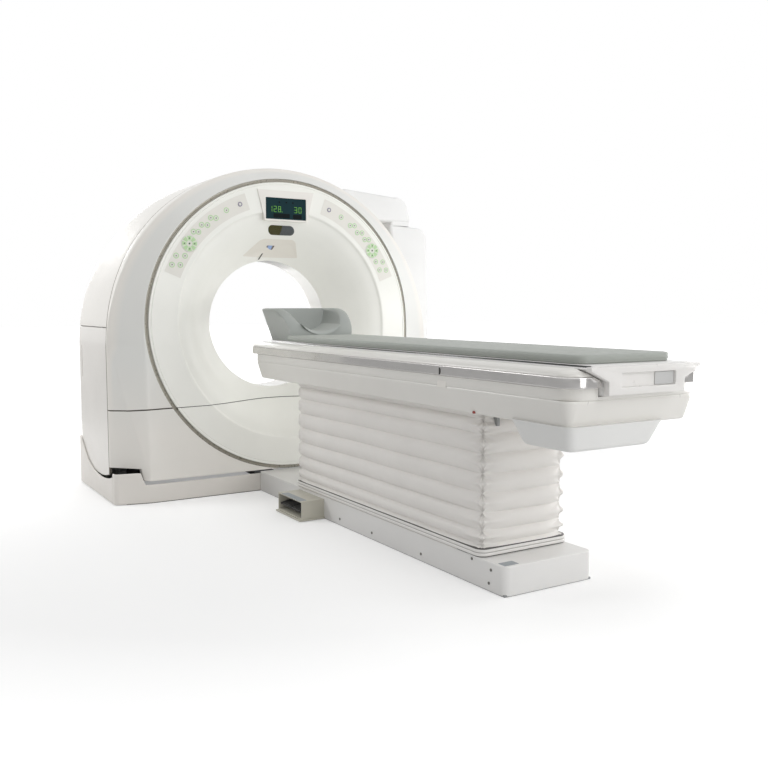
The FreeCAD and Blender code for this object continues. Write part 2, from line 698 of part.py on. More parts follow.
def ring_trim():
    """Flat metal ring in the groove between the dish and the front cover."""
    gap = 0.3
    low = s.ring_sunk
    ring = disc(s.ring_outer - gap, low, low + 7.7).cut(disc(s.ring_inner + gap, -400, 400))
    floor = slab(-2000, 2000, -900, 900, s.front_bottom, 3000)
    keep(form("trim", leaning(ring).common(floor)), "ring_trim")


def bore():
    """Scan window and the tunnel that opens like a bell at the back."""
    wall = s.cover_wall - 1
    tube = disc(s.bore_radius + wall, 0, s.window_depth)
    tube = tube.cut(disc(s.bore_radius, -10, s.window_depth + 10))
    throat = s.throat_depth + 0.5
    foot = s.iso_height - 500
    side = [(-900, -200, 2000), (-900, throat, 2000), (-900, throat, s.iso_height),
            (-900, throat - lean(foot), foot), (-900, -200, foot)]
    tube = tube.cut(prism(side, V(1800, 0, 0)))
    keep(form("window_tube", tube), "scan_window")
    bell = turned(((s.bore_radius, s.window_depth), (s.bore_radius, s.tunnel_end),
                   (s.bell_radius, s.rear_face), (s.bell_radius + wall, s.rear_face),
                   (s.bore_radius + wall, s.tunnel_end + 2),
                   (s.bore_radius + wall, s.window_depth)))
    keep(form("bell", bell), "rear_tunnel")


def side_skin():
    """The outer skin behind the seam, over the arch and down both sides."""
    outer = arch(s.half_width, s.arch_centre, 0, s.front_bottom, s.half_width, 0)
    thin = s.half_width - s.cover_wall
    inner = arch(thin, s.arch_centre, 0, s.front_bottom - 10, thin, 0)
    depth = V(0, s.rear_face, 0)
    band = Part.Face(outer).extrude(depth).cut(Part.Face(inner).extrude(depth))
    return band.common(seam_tool(s.seam_gap))


def side_covers():
    """Lower side walls that end in an arc about the tilt axis, and the shoulders."""
    skin = side_skin()
    reach = 2 * s.half_width
    gap = s.seam_gap / 2
    sweep = Part.makeCylinder(s.sweep_radius, 2 * reach,
                              V(-reach, s.tilt_depth, s.iso_height), X_AXIS)
    slot = slab(-s.half_width - 1, -s.half_width + 0.7 * s.cover_wall, s.rear_face - 67,
                s.rear_face - 55, s.side_split - 293, s.side_split - 111)
    for name, low, high in (("left", -reach, -gap), ("right", gap, reach)):
        wall = skin.common(sweep)
        wall = wall.common(slab(low, high, 0, s.rear_face, 0, s.side_split - gap))
        wall = wall.cut(slot)
        keep(form(name + "_wall", wall), name + "_lower_side_cover")
        shoulder = skin.common(slab(low, high, 0, s.rear_face, s.side_split + gap, 3000))
        keep(form(name + "_shoulder", shoulder), name + "_upper_side_cover")


def rear_cover():
    """Back plate with the bell's opening and a notch over each stand."""
    body = part_body("rear_cover_body")
    half = "half_width - cover_wall - 0.5"
    inside = "stand_inside - 5"
    outside = "stand_inside + stand_thick + 15"
    right = ((half, "arch_centre"), (half, "base_top + 75"), (outside, "base_top + 75"),
             (outside, "540"), (inside, "540"), (inside, "base_top + 75"))
    left = [(f"-({u})", w) for u, w in reversed(right)]
    plate = outline(body, "XZ", *right, *left,
                    ("via", "0", f"arch_centre + {half}"))
    run(body, "Pad", plate, "-rear_face", "cover_wall")
    hole = rings(body, "XZ", ("0", "iso_height"), "bell_radius + cover_wall - 1")
    run(body, "Pocket", hole, "-rear_face - 1", "cover_wall + 2")
    keep(body, "rear_cover")


def rear_units():
    """Two housings at the right of the back, outside the arch."""
    arch_tool = round_bar("arch_bar", "half_width + seat_gap", "rear_face",
                          ("0", "0", "arch_centre"), Y_AXIS)
    body = part_body("rear_unit_upper_body")
    side, up = "half_width", "arch_centre"
    plan = outline(body, "XZ", (f"{side} - 466", f"{up} + 770"), (f"{side} - 466", f"{up} + 965"),
                   (f"{side} - 77", f"{up} + 934"), ("via", f"{side} - 2", f"{up} + 915"),
                   (f"{side} + 32", f"{up} + 860"), (f"{side} + 50", f"{up} + 770"))
    run(body, "Pad", plan, "-rear_face", "rear_face - tilt_depth")
    keep(cut("rear_unit_upper_cut", body, arch_tool), "right_rear_unit_upper")
    body = part_body("rear_unit_lower_body")
    plan = outline(body, "XZ", (f"{side} - 115", f"{up} + 756"), (f"{side} + 100", f"{up} + 742"),
                   ("via", f"{side} + 156", f"{up} + 720"), (f"{side} + 179", f"{up} + 665"),
                   (f"{side} + 195", f"{up} + 25"), (f"{side} + 195", f"{up} - 470"),
                   (f"{side} + seat_gap", f"{up} - 470"), (f"{side} + seat_gap", up))
    run(body, "Pad", plan, "-rear_face", "rear_face - tilt_depth")
    keep(cut("rear_unit_lower_cut", body, arch_tool), "right_rear_unit_lower")


def raised_on_dish(name, label, outline_shape, proud):
    """A thin piece that follows the dish's surface inside an outline."""
    plain = upright_dish()
    shifted = plain.copy()
    shifted.translate(V(0, -proud, 0))
    seat = plain.copy()
    seat.translate(V(0, -s.seat_gap, 0))
    keep(form(name, shifted.common(outline_shape).cut(seat)), label)


def display():
    """Bezel that stands on the dish like a boss, with the display in its recess."""
    body = part_body("bezel_body")
    face = outline(body, "XZ", ("-176", "bezel_high"), ("176", "bezel_high"),
                   ("132", "bezel_low"), ("-132", "bezel_low"))
    run(body, "Pad", face, "-throat_depth", "throat_depth + band_proud + bezel_proud")
    play = "seat_gap"
    recess = outline(body, "XZ", (f"-screen_half - {play}", f"screen_low - {play}"),
                     (f"screen_half + {play}", f"screen_low - {play}"),
                     (f"screen_half + {play}", f"screen_high + {play}"),
                     (f"-screen_half - {play}", f"screen_high + {play}"))
    run(body, "Pocket", recess, "band_proud + 2", "bezel_proud")
    front = [(radius, depth - s.seat_gap) for radius, depth in dish_profile()]
    behind = turned(front + [(s.bore_radius, s.tunnel_end), (s.ring_inner, s.tunnel_end)])
    keep(cut("bezel_seated", body, form("dish_room", behind)), "display_bezel")
    body = part_body("screen_body")
    face = outline(body, "XZ", ("-screen_half", "screen_low"), ("screen_half", "screen_low"),
                   ("screen_half", "screen_high"), ("-screen_half", "screen_high"))
    run(body, "Pad", face, "band_proud + 2", "2.5")
    keep(body, "display_panel")


def front_fittings():
    """Lamp window, front plate with its indicator, and the key fields."""
    half, height = 56, 26
    low, high = -200, 300
    pill = slab(-half, half, low, high, s.lamp_middle - height, s.lamp_middle + height)
    for side in (-1, 1):
        spot = V(side * half, low, s.lamp_middle)
        pill = pill.fuse(Part.makeCylinder(height, high - low, spot, Y_AXIS))
    raised_on_dish("pill", "lamp_window", pill.removeSplitter(), 1.5)
    lamp = (s.plate_low + 42, s.plate_low + 66)
    raised_on_dish("lamp", "indicator", slab(-58, -2, low, high, *lamp), 1.5)
    corners = ((-110, s.plate_high), (-165, s.plate_low), (165, s.plate_low),
               (110, s.plate_high))
    plate = prism([(x, low, z) for x, z in corners], V(0, high - low, 0))
    gap = s.seat_gap
    window = slab(-58 - gap, -2 + gap, low, high, lamp[0] - gap, lamp[1] + gap)
    raised_on_dish("plate", "front_plate", plate.cut(window), 1)
    near, far = s.key_circle - 46, s.key_circle + 48
    face = -s.band_proud - 0.8
    fields = [ring_sector(near, far, face, -s.band_proud, middle, 24.5, s.iso_height)
              for middle in (133.5, 46.5)]
    keep(form("membranes", key_holes(Part.makeCompound(fields))), "keypads")


def travelling_keys():
    """Stop button and direction pad on either side; both slide into the control band."""
    for name, degrees, radius, proud in TRAVELLING:
        up = f"iso_height + key_circle * sin({degrees})"
        for tag, side in (("left", -1), ("right", 1)):
            spot = (f"{side} * key_circle * cos({degrees})", f"-band_proud - {proud}", up)
            keep(round_bar(f"{tag}_{name}_cap", str(radius), f"{proud} + 12", spot, Y_AXIS),
                 f"{tag}_{name}")


# ---------------------------------------------------------------- tilting frame and rotor
def tilt_frame():
    """Ring that carries the rotor, with an arm to each trunnion."""
    body = part_body("tilt_frame_body")
    plate = rings(body, "XZ", ("0", "iso_height"), "frame_radius", "frame_bore")
    run(body, "Pad", plate, "-frame_front - frame_plate", "frame_plate")
    for side in ("", "-"):
        arm = outline(body, "XZ", (f"{side}(stand_inside - 50)", "iso_height - 100"),
                      (f"{side}(stand_inside - 10)", "iso_height - 100"),
                      (f"{side}(stand_inside - 10)", "iso_height + 100"),
                      (f"{side}(stand_inside - 50)", "iso_height + 100"))
        run(body, "Pad", arm, "-frame_front - frame_plate", "frame_front - tilt_depth + 110")
    bore_sketch = rings(body, "YZ", ("tilt_depth", "iso_height"),
                        "trunnion_radius + seat_gap / 2")
    run(body, "Pocket", bore_sketch, "-stand_inside", "2 * stand_inside")
    rim = s.ring_sunk + 8 + s.cover_wall + s.seat_gap
    room = prism([(-900, rim, 2000), (-900, rim, s.iso_height),
                  (-900, rim - lean(s.front_bottom), s.front_bottom),
                  (-900, 600, s.front_bottom), (-900, 600, 2000)], V(1800, 0, 0))
    posts = []
    ahead = s.post_circle / math.sqrt(2)
    behind = (s.frame_radius + s.bell_radius) / 2 / math.sqrt(2)
    for across in (-1, 1):
        for up in (-1, 1):
            spot = V(across * ahead, -200, s.iso_height + up * ahead)
            front = Part.makeCylinder(11, s.frame_front + 200, spot, Y_AXIS).common(room)
            spot = V(across * behind, s.frame_front + s.frame_plate,
                     s.iso_height + up * behind)
            reach = s.rear_face - s.cover_wall - s.seat_gap - s.frame_front - s.frame_plate
            rear = Part.makeCylinder(14, reach, spot, Y_AXIS)
            tag = f"{across > 0:d}{up > 0:d}"
            posts += [form("front_post_" + tag, front), form("rear_post_" + tag, rear)]
    keep(fuse("tilt_frame_posts", body, *posts), "tilt_frame")


def trunnion_shafts():
    right = round_bar("right_trunnion", "trunnion_radius", "stand_thick + 48",
                      ("stand_inside - 50", "tilt_depth", "iso_height"), X_AXIS)
    left = round_bar("left_trunnion", "trunnion_radius", "stand_thick + 85",
                     ("-stand_inside - stand_thick - 35", "tilt_depth", "iso_height"), X_AXIS)
    keep(group("trunnions", right, left), "trunnion_shafts")


def ring_piece(name, label, outer, inner, start, length):
    """A plain ring about the bore's axis; start is its near face's depth."""
    body = part_body(name)
    plan = rings(body, "XZ", ("0", "iso_height"), outer, inner)
    run(body, "Pad", plan, f"-({start}) - ({length})", length)
    keep(body, label)
    return body


def rotor():
    """Rotor plate and hub with what the patient ring carries."""
    body = ring_piece("rotor_body", "rotor_ring", "rotor_radius", "rotor_bore",
                      "rotor_front", "rotor_plate")
    hub = rings(body, "XZ", ("0", "iso_height"), "hub_radius", "rotor_bore")
    run(body, "Pad", hub, "-hub_end", "hub_end - rotor_front - rotor_plate")
    ring_piece("bearing_body", "rotor_bearing", "hub_radius + 70",
               "hub_radius + journal_gap", "frame_front - 40", "40")
    ring_piece("slip_body", "slip_ring", "hub_radius + 125", "hub_radius + 75",
               "rotor_front + rotor_plate", "25")
    case = round_bar("tube_case", "92", "rotor_front - 100",
                     ("0", "100", "iso_height + rotor_radius - 115"), Y_AXIS)
    seat = block("tube_seat", "-110", "110", "rotor_front - 40", "rotor_front",
                 "iso_height + rotor_radius - 210", "iso_height + rotor_radius - 25")
    keep(fuse("tube", case, seat), "xray_tube")
    loads = (("detector", -90, 34, 145, 170), ("power_unit", 180, 24, 190, 120),
             ("counterweight", 0, 22, 190, 120))
    for name, middle, half, height, near in loads:
        far = s.rotor_radius - 12
        piece = ring_sector(far - height, far, near, s.rotor_front, middle, half,
                            s.iso_height)
        keep(form(name + "_case", piece), name)


# ---------------------------------------------------------------- table, fixed part
def rounded_plan(half, front, rear, front_radius, rear_radius):
    """Points of a rectangle seen from above with rounded ends."""
    points = [(f"-({half})", f"({rear}) + ({rear_radius})"),
              ("via", f"-({half}) + 0.293 * ({rear_radius})", f"({rear}) + 0.293 * ({rear_radius})"),
              (f"-({half}) + ({rear_radius})", rear), (f"({half}) - ({rear_radius})", rear),
              ("via", f"({half}) - 0.293 * ({rear_radius})", f"({rear}) + 0.293 * ({rear_radius})"),
              (half, f"({rear}) + ({rear_radius})")]
    if number(front_radius) == 0:
        return points + [(half, front), (f"-({half})", front)]
    return points + [
        (half, f"({front}) - ({front_radius})"),
        ("via", f"({half}) - 0.293 * ({front_radius})", f"({front}) - 0.293 * ({front_radius})"),
        (f"({half}) - ({front_radius})", front), (f"-({half}) + ({front_radius})", front),
        ("via", f"-({half}) + 0.293 * ({front_radius})", f"({front}) - 0.293 * ({front_radius})"),
        (f"-({half})", f"({front}) - ({front_radius})")]


def table_base_cover():
    """Long low cover that joins the table's foot to the gantry's base."""
    body = part_body("table_base_body")
    plan = outline(body, "XY", *rounded_plan("table_half", "base_front", "table_rear", "0",
                                             "table_corner"))
    run(body, "Pad", plan, "toe_gap", "table_base_top - toe_gap")
    inside = outline(body, "XY", ("-table_half + 4", "table_rear + 4"),
                     ("table_half - 4", "table_rear + 4"), ("table_half - 4", "base_front - 4"),
                     ("-table_half + 4", "base_front - 4"))
    run(body, "Pocket", inside, "0", "table_base_top - 4")
    window = outline(body, "XY", ("-188", "bellows_rear + 22"), ("188", "bellows_rear + 22"),
                     ("188", "bellows_front - 22"), ("-188", "bellows_front - 22"))
    run(body, "Pocket", window, "table_base_top - 20", "40")
    keep(body, "table_base_cover")


def table_base_frame():
    """Floor plate with the lower pivot ears and the lower roller tracks."""
    side_seat = "table_half - 4 - seat_gap"
    plate = block("table_plate", f"-({side_seat})", side_seat, "table_rear + 4 + seat_gap",
                  "base_front - 4 - seat_gap", "0", "8")
    pieces = [plate]
    top = "arm_low - roller_radius - roller_play"
    for side in (-1, 1):
        tag = "lr"[side > 0]
        inner = f"{side} * outer_arm"
        near, far = ("3", "15") if side > 0 else ("-15", "-3")
        pieces.append(block("ear_" + tag, f"{inner} + {near}", f"{inner} + {far}",
                            "arm_pivot - 40", "arm_pivot + 40", "8", "arm_low + 26"))
        start = f"{inner} - {side} * arm_thick"
        direction = X_AXIS if side > 0 else -X_AXIS
        pieces.append(round_bar("pin_" + tag, "pin_radius", "arm_thick + 9",
                                (start, "arm_pivot", "arm_low"), direction))
        low, high = ("-34", "-12") if side > 0 else ("12", "34")
        pieces.append(block("track_" + tag, f"{inner} + {low}", f"{inner} + {high}",
                            "arm_pivot + 860", "arm_pivot + 1130", "8", top))
    keep(fuse("table_foot", *pieces), "table_base_frame")


def lift_actuator():
    """Electric cylinder that lies between the roller tracks."""
    tube = round_bar("actuator_tube", "36", "620", ("0", "arm_pivot + 150", "54"), Y_AXIS)
    rod = round_bar("actuator_rod", "14", "140", ("0", "arm_pivot + 770", "54"), Y_AXIS)
    foot = block("actuator_foot", "-45", "45", "arm_pivot + 150", "arm_pivot + 200", "8", "54")
    nose = block("actuator_nose", "-45", "45", "arm_pivot + 700", "arm_pivot + 750", "8", "54")
    keep(fuse("actuator", tube, rod, foot, nose), "lift_actuator")


def table_base_screws():
    """Cover screws along both sides of the table's base."""
    heads = []
    places = ((-1029, 32), (-1326, 32), (-1717, 32), (-2058, 98), (-2172, 84), (-2161, 32))
    for side in (-1, 1):
        direction = X_AXIS if side > 0 else -X_AXIS
        for index, (depth, up) in enumerate(places):
            spot = (f"{side} * table_half", str(depth), str(up))
            tag = f"screw_{'lr'[side > 0]}{index}"
            heads.append(hexagon_head(tag, 6, 2, spot, direction))
    keep(group("screws", *heads), "table_base_screws")


def foot_switch():
    """Hooded foot switch beside the table's base with its two pedals."""
    body = part_body("foot_switch_body")
    hood = outline(body, "XY", ("-switch_out", "switch_rear"), ("-table_half", "switch_rear"),
                   ("-table_half", "switch_front"), ("-switch_out", "switch_front"))
    run(body, "Pad", hood, "toe_gap", "switch_high - toe_gap")
    inside = outline(body, "XZ", ("-switch_out - 5", "14"), ("-table_half - 7", "14"),
                     ("-table_half - 7", "switch_high - 6"),
                     ("-switch_out - 5", "switch_high - 6"))
    run(body, "Pocket", inside, "-switch_front + 6", "switch_front - switch_rear - 12")
    lip = outline(body, "XY", ("-switch_out - 15", "switch_rear - 8"),
                  ("-table_half", "switch_rear - 8"), ("-table_half", "switch_front"),
                  ("-switch_out - 15", "switch_front"))
    run(body, "Pad", lip, "toe_gap", "8")
    pin = rings(body, "XZ", ("-table_half - 22", "50"), "5")
    run(body, "Pad", pin, "-switch_front + 5", "switch_front - switch_rear - 10")
    keep(body, "foot_switch_housing")
    for name, front in (("raise_pedal", "-switch_rear - 9 - pedal_width"),
                        ("lower_pedal", "-switch_rear - 11 - 2 * pedal_width")):
        body = part_body(name + "_body")
        shape = outline(body, "XZ", ("-switch_out + 9", "38"), ("-table_half - 22", "42"),
                        ("-table_half - 22", "56"), ("-switch_out + 37", "52"),
                        ("-switch_out + 9", "46"))
        run(body, "Pad", shape, front, "pedal_width")
        barrel = rings(body, "XZ", ("-table_half - 22", "50"), "9")
        run(body, "Pad", barrel, front, "pedal_width")
        hole = rings(body, "XZ", ("-table_half - 22", "50"), "5 + journal_gap")
        run(body, "Pocket", hole, f"{front} - 1", "pedal_width + 2")
        keep(body, name)


def bellows_trim():
    """Frame on top of the base cover that the bellows is fixed to."""
    body = part_body("bellows_trim_body")
    half = "table_half + 6"
    plan = outline(body, "XY", *rounded_plan(half, "bellows_front + 6", "bellows_rear - 6",
                                             "bellows_corner", "bellows_corner"))
    run(body, "Pad", plan, "table_base_top", "bellows_low - table_base_top - seat_gap")
    inside = outline(body, "XY", ("-190", "bellows_rear + 20"), ("190", "bellows_rear + 20"),
                     ("190", "bellows_front - 20"), ("-190", "bellows_front - 20"))
    run(body, "Pocket", inside, "table_base_top - 1", "40")
    keep(body, "bellows_trim")


# ---------------------------------------------------------------- table, lifting part
def rounded_loop(half, front, rear, radius, height):
    """A level wire whose corners are rounded in flat folds."""
    across = half - radius
    corners = ((across, rear + radius, -90), (across, front - radius, 0),
               (-across, front - radius, 90), (-across, rear + radius, 180))
    folds = int(s.corner_folds)
    points = []
    for x, y, turn in corners:
        for fold in range(folds + 1):
            angle = math.radians(turn + 90 * fold / folds)
            points.append((x + radius * math.cos(angle), y + radius * math.sin(angle), height))
    return polygon(points)


def pleated(inset, low, high):
    """A solid stack of pleats between two heights."""
    pitch = (s.bellows_high - s.bellows_low) / s.pleat_count
    rows = ((0.0, 1.0), (0.5, 0.0))
    levels = [(s.bellows_low + (turn + share) * pitch, depth * s.pleat_depth)
              for turn in range(int(s.pleat_count)) for share, depth in rows]
    levels.append((s.bellows_high, s.pleat_depth))
    if low < s.bellows_low:
        levels.insert(0, (low, s.pleat_depth))
    if high > s.bellows_high:
        levels.append((high, s.pleat_depth))
    wires = []
    for height, depth in levels:
        drawn = depth + inset
        wires.append(rounded_loop(s.table_half - drawn, s.bellows_front - drawn,
                                  s.bellows_rear + drawn, s.bellows_corner - drawn, height))
    return Part.makeLoft(wires, True, True)


def bellows():
    """Pleated skirt that hides the lift; it folds as the table comes down."""
    outer = pleated(0, s.bellows_low, s.bellows_high)
    inner = pleated(s.bellows_wall, s.bellows_low - 5, s.bellows_high + 5)
    keep(form("pleats", outer.cut(inner)), "bellows")


def channel():
    """Half of the channel that the tabletop runs in, as (across, up)."""
    gap = "slide_gap"
    return ((f"flare_half + {gap}", "rim_top"), (f"flare_half + {gap}", f"flare_high - {gap}"),
            (f"keel_half + {gap}", f"keel_high - {gap}"),
            (f"keel_half + {gap}", "keel_low - seat_gap"))


def upper_pivots():
    """Ears under the lifting frame that hold the inner arms' pins."""
    pieces = []
    for side in (-1, 1):
        tag = "lr"[side > 0]
        face = f"{side} * (outer_arm - 2 * arm_thick - 7)"
        near, far = ("-12", "0") if side > 0 else ("0", "12")
        ear = block("upper_ear_" + tag, f"{face} + {near}", f"{face} + {far}",
                    "arm_pivot - 30", "arm_pivot + 30", "arm_high - 20", "frame_bottom")
        direction = X_AXIS if side > 0 else -X_AXIS
        pin = round_bar("upper_pin_" + tag, "pin_radius", "arm_thick + 3",
                        (face, "arm_pivot", "arm_high"), direction)
        pieces.append(fuse("upper_pivot_" + tag, ear, pin))
    return pieces


def lifting_frame():
    """Long moulded body of the table with the channel of the tabletop."""
    body = part_body("lifting_frame_body")
    edge = "strip_half - 1"
    right = (("frame_half - tuck", "frame_bottom"), ("frame_half", "frame_crease"),
             ("frame_half", "strip_high"), (edge, "strip_high"), *channel())
    left = [(f"-({u})", w) for u, w in reversed(right)]
    section = outline(body, "XZ", *right, *left)
    run(body, "Pad", section, "-lift_front", "lift_front - lift_rear")
    rim = [(number(u), number(w)) for u, w in
           (("frame_half - 0.3", "strip_low"), ("frame_half - 0.3", "strip_high"),
            (edge, "strip_high"), *channel()[:3])]
    rim.append((s.keel_half + s.slide_gap, s.strip_low))
    ends = []
    for side in (-1, 1):
        points = [(side * x, s.strip_rear - 10, z) for x, z in rim]
        ends.append(prism(points, V(0, s.strip_front - s.strip_rear + 20, 0)))
    rails = ends[0].fuse(ends[1])
    plan = rounded_frame(s.strip_half - 1, s.strip_front - 7, s.strip_rear + 7, 50, 70)
    middle = slab(-900, 900, s.lift_rear, s.lift_front, 0, 2000)
    tips = form("frame_tips", rails.common(plan).cut(middle))
    tail = block("frame_tail", "-frame_half + 4", "frame_half - 4", "lift_rear - 12",
                 "lift_rear", "frame_bottom + 12", "keel_low - slide_gap")
    whole = fuse("lifting_frame_whole", body, tips, tail, *upper_pivots())
    inner = rounded_frame(s.strip_half - 7, s.strip_front - 7, s.strip_rear + 7, 43, 63)
    band = slab(-900, 900, -4000, 900, s.strip_low - 0.3, s.strip_high)
    groove = form("strip_groove", band.cut(inner))
    keep(cut("lifting_frame_grooved", whole, groove), "lifting_frame")


def rounded_frame(half, front, rear, front_radius, rear_radius):
    """A tall solid over a plan with rounded corners."""
    points = rounded_plan(str(half), str(front), str(rear), str(front_radius),
                          str(rear_radius))
    spots = [tuple(number(value) for value in point[-2:]) for point in points]
    edges = []
    index = 0
    while index < len(points):
        after = (index + 1) % len(points)
        start = V(*spots[index], 500)
        if len(points[after]) == 3:
            following = (index + 2) % len(points)
            arc = Part.Arc(start, V(*spots[after], 500), V(*spots[following], 500))
            edges.append(arc.toShape())
            index += 2
        else:
            edges.append(Part.makeLine(start, V(*spots[after], 500)))
            index += 1
    return Part.Face(Part.Wire(edges)).extrude(V(0, 0, 1000))


def bright_strips():
    """Bright strip along each side that wraps round the table's corners."""
    outer = rounded_frame(s.strip_half, s.strip_front, s.strip_rear, 50, 70)
    inner = rounded_frame(s.strip_half - 6.7, s.strip_front - 6.7, s.strip_rear + 6.7,
                          43.3, 63.3)
    band = outer.cut(inner).common(slab(-900, 900, -4000, 900, s.strip_low, s.strip_high - 0.3))
    mouth = s.flare_half - 30
    keep(form("strips", band.cut(slab(-mouth, mouth, -4000, 900, 0, 2000))), "bright_strips")


def underslung_housing():
    """Drive housing below the rear end, cut away on its right side."""
    body = part_body("underslung_body")
    rear = "lift_rear - 10"
    low = "frame_bottom - 70"
    side = outline(body, "YZ", ("lift_rear + 287", "frame_bottom"),
                   ("lift_rear + 260", "frame_bottom - 50"), ("lift_rear + 208", low),
                   (rear, low), (rear, "frame_bottom"))
    run(body, "Pad", side, "-frame_half + 12", "frame_half + 128")
    corner = outline(body, "XZ", ("58", f"{low} - 5"), ("150", f"{low} - 5"),
                     ("150", "frame_bottom"), ("140", "frame_bottom"))
    run(body, "Pocket", corner, "-lift_rear - 330", "400")
    keep(body, "underslung_housing")


def arms(name, face, low_end, high_end, pin_at_low):
    """A pair of scissor arms joined by a cross tube, with rollers at one end."""
    half = s.arm_height / 2
    run_y, run_z = high_end[0] - low_end[0], high_end[1] - low_end[1]
    length = math.hypot(run_y, run_z)
    along = V(0, run_y / length, run_z / length)
    pinned = V(0, *(low_end if pin_at_low else high_end))
    away = along if pin_at_low else -along
    free = pinned + away * length
    solids = []
    for side in (-1, 1):
        start_x = side * face - (s.arm_thick if side > 0 else 0)
        shift = V(start_x, 0, 0)
        up = V(0, -along.z, along.y) * half
        corners = [pinned + up, free + up, free - up, pinned - up]
        bar = prism([tuple(corner + shift) for corner in corners], V(s.arm_thick, 0, 0))
        for end in (pinned, free):
            bar = bar.fuse(Part.makeCylinder(half, s.arm_thick, end + shift, X_AXIS))
        hole = s.pin_radius + s.journal_gap
        bar = bar.cut(Part.makeCylinder(hole, s.arm_thick, pinned + shift, X_AXIS))
        roller_x = start_x - 14 if side > 0 else start_x + s.arm_thick
        roller = Part.makeCylinder(s.roller_radius, 14, free + V(roller_x, 0, 0), X_AXIS)
        bar = bar.fuse(roller)
        solids.append(bar)
    spot = pinned + away * 70
    tube = Part.makeCylinder(11, 2 * face - 2 * s.arm_thick, spot + V(s.arm_thick - face, 0, 0),
                             X_AXIS)
    whole = solids[0].fuse([solids[1], tube])
    keep(form(name + "_pair", whole), name)


def scissor():
    """Outer and inner arms of the lift at rest."""
    rise = s.arm_high - s.arm_low
    reach = math.sqrt(s.arm_length ** 2 - rise ** 2)
    near, far = s.arm_pivot, s.arm_pivot + reach
    arms("outer_lift_arms", s.outer_arm, (near, s.arm_low), (far, s.arm_high), True)
    inside = s.outer_arm - s.arm_thick - 4
    arms("inner_lift_arms", inside, (far, s.arm_low), (near, s.arm_high), False)


# ---------------------------------------------------------------- tabletop
def tabletop():
    """Carbon tabletop with a keel; it slides into the bore."""
    body = part_body("tabletop_body")
    right = (("keel_half", "keel_low"), ("keel_half", "keel_high"),
             ("flare_half", "flare_high"), ("flare_half", "flare_high + 3"),
             ("board_half", "flare_high + 3"), ("board_half", "board_high"))
    left = [(f"-({u})", w) for u, w in reversed(right)]
    section = outline(body, "XZ", *right, *left)
    run(body, "Pad", section, "-board_front", "board_front - board_rear")
    keep(body, "tabletop")
    body = part_body("end_grip_body")
    right = (("keel_half", "keel_low"), ("keel_half", "keel_high"),
             ("flare_half", "flare_high"), ("flare_half", "flare_high + 3"))
    left = [(f"-({u})", w) for u, w in reversed(right)]
    section = outline(body, "XZ", *right, *left)
    run(body, "Pad", section, "-board_rear", "22")
    recess = outline(body, "XZ", ("-120", "strip_low - 1"), ("130", "strip_low - 1"),
                     ("130", "flare_high - 13"), ("-120", "flare_high - 13"))
    run(body, "Pocket", recess, "-board_rear + 7", "20")
    keep(body, "end_grip")


def mattress():
    """Thin mattress, crowned on top, its sides drawn in."""
    base = s.board_high + s.cushion_seat
    half = s.cushion_half
    top = base + s.cushion_thick
    length = s.cushion_front - s.cushion_rear
    crown, draw = 5, 3
    left_low, left_high = V(-half + 2, 0, base), V(-half + 4, 0, top - crown)
    right_low, right_high = V(half - 2, 0, base), V(half - 4, 0, top - crown)
    middle = (base + top - crown) / 2
    edges = [Part.makeLine(left_low, right_low),
             Part.Arc(right_low, V(half - 3 + draw, 0, middle), right_high).toShape(),
             Part.Arc(right_high, V(0, 0, top), left_high).toShape(),
             Part.Arc(left_high, V(-half + 3 - draw, 0, middle), left_low).toShape()]
    bar = Part.Face(Part.Wire(edges)).extrude(V(0, length, 0))
    bar.translate(V(0, s.cushion_rear, 0))
    plan = rounded_frame(half, s.cushion_front, s.cushion_rear, 12, 50)
    keep(form("mattress_pad", bar.common(plan)), "mattress")


def headrest():
    """Trough for the head: curved side wings on a stem that plugs into the tabletop."""
    base = s.board_high + 0.5
    half = s.cushion_half
    far_y, near_y = s.cushion_front + 322, s.cushion_front + 5
    top = s.board_high + 173
    outer = prism([(-half, near_y, top), (-half + 35, near_y, base),
                   (half - 35, near_y, base), (half, near_y, top)],
                  V(0, far_y - near_y, 0))
    hollow_z = base + 28
    trough = Part.makeCylinder(150, far_y - near_y + 20, V(0, near_y - 10, hollow_z + 150),
                               Y_AXIS)
    walls = prism([(-150, near_y - 10, hollow_z + 150), (150, near_y - 10, hollow_z + 150),
                   (182, near_y - 10, top + 10), (-182, near_y - 10, top + 10)],
                  V(0, far_y - near_y + 20, 0))
    side = Part.Wire([
        Part.makeLine(V(-400, near_y, base), V(-400, far_y - 57, base)),
        Part.makeLine(V(-400, far_y - 57, base), V(-400, far_y, top)),
        Part.makeLine(V(-400, far_y, top), V(-400, far_y - 125, top)),
        Part.Arc(V(-400, far_y - 125, top), V(-400, near_y + 62, top - 65),
                 V(-400, near_y, base + 20)).toShape(),
        Part.makeLine(V(-400, near_y, base + 20), V(-400, near_y, base))])
    flank = Part.Face(side).extrude(V(800, 0, 0))
    keep(form("head_trough", outer.cut(trough).cut(walls).common(flank)), "headrest")


def headrest_cushion():
    """Loose pad in the trough of the headrest."""
    bottom = s.board_high + 0.5 + 28
    far_y, near_y = s.cushion_front + 240, s.cushion_front + 12
    pad = Part.makeCylinder(149.4, far_y - near_y, V(0, near_y, bottom + 150), Y_AXIS)
    core = Part.makeCylinder(190, far_y - near_y, V(0, near_y, bottom + 213), Y_AXIS)
    low = slab(-140, 140, near_y, far_y, bottom, bottom + 60)
    keep(form("head_pad", pad.common(low).cut(core)), "headrest_cushion")


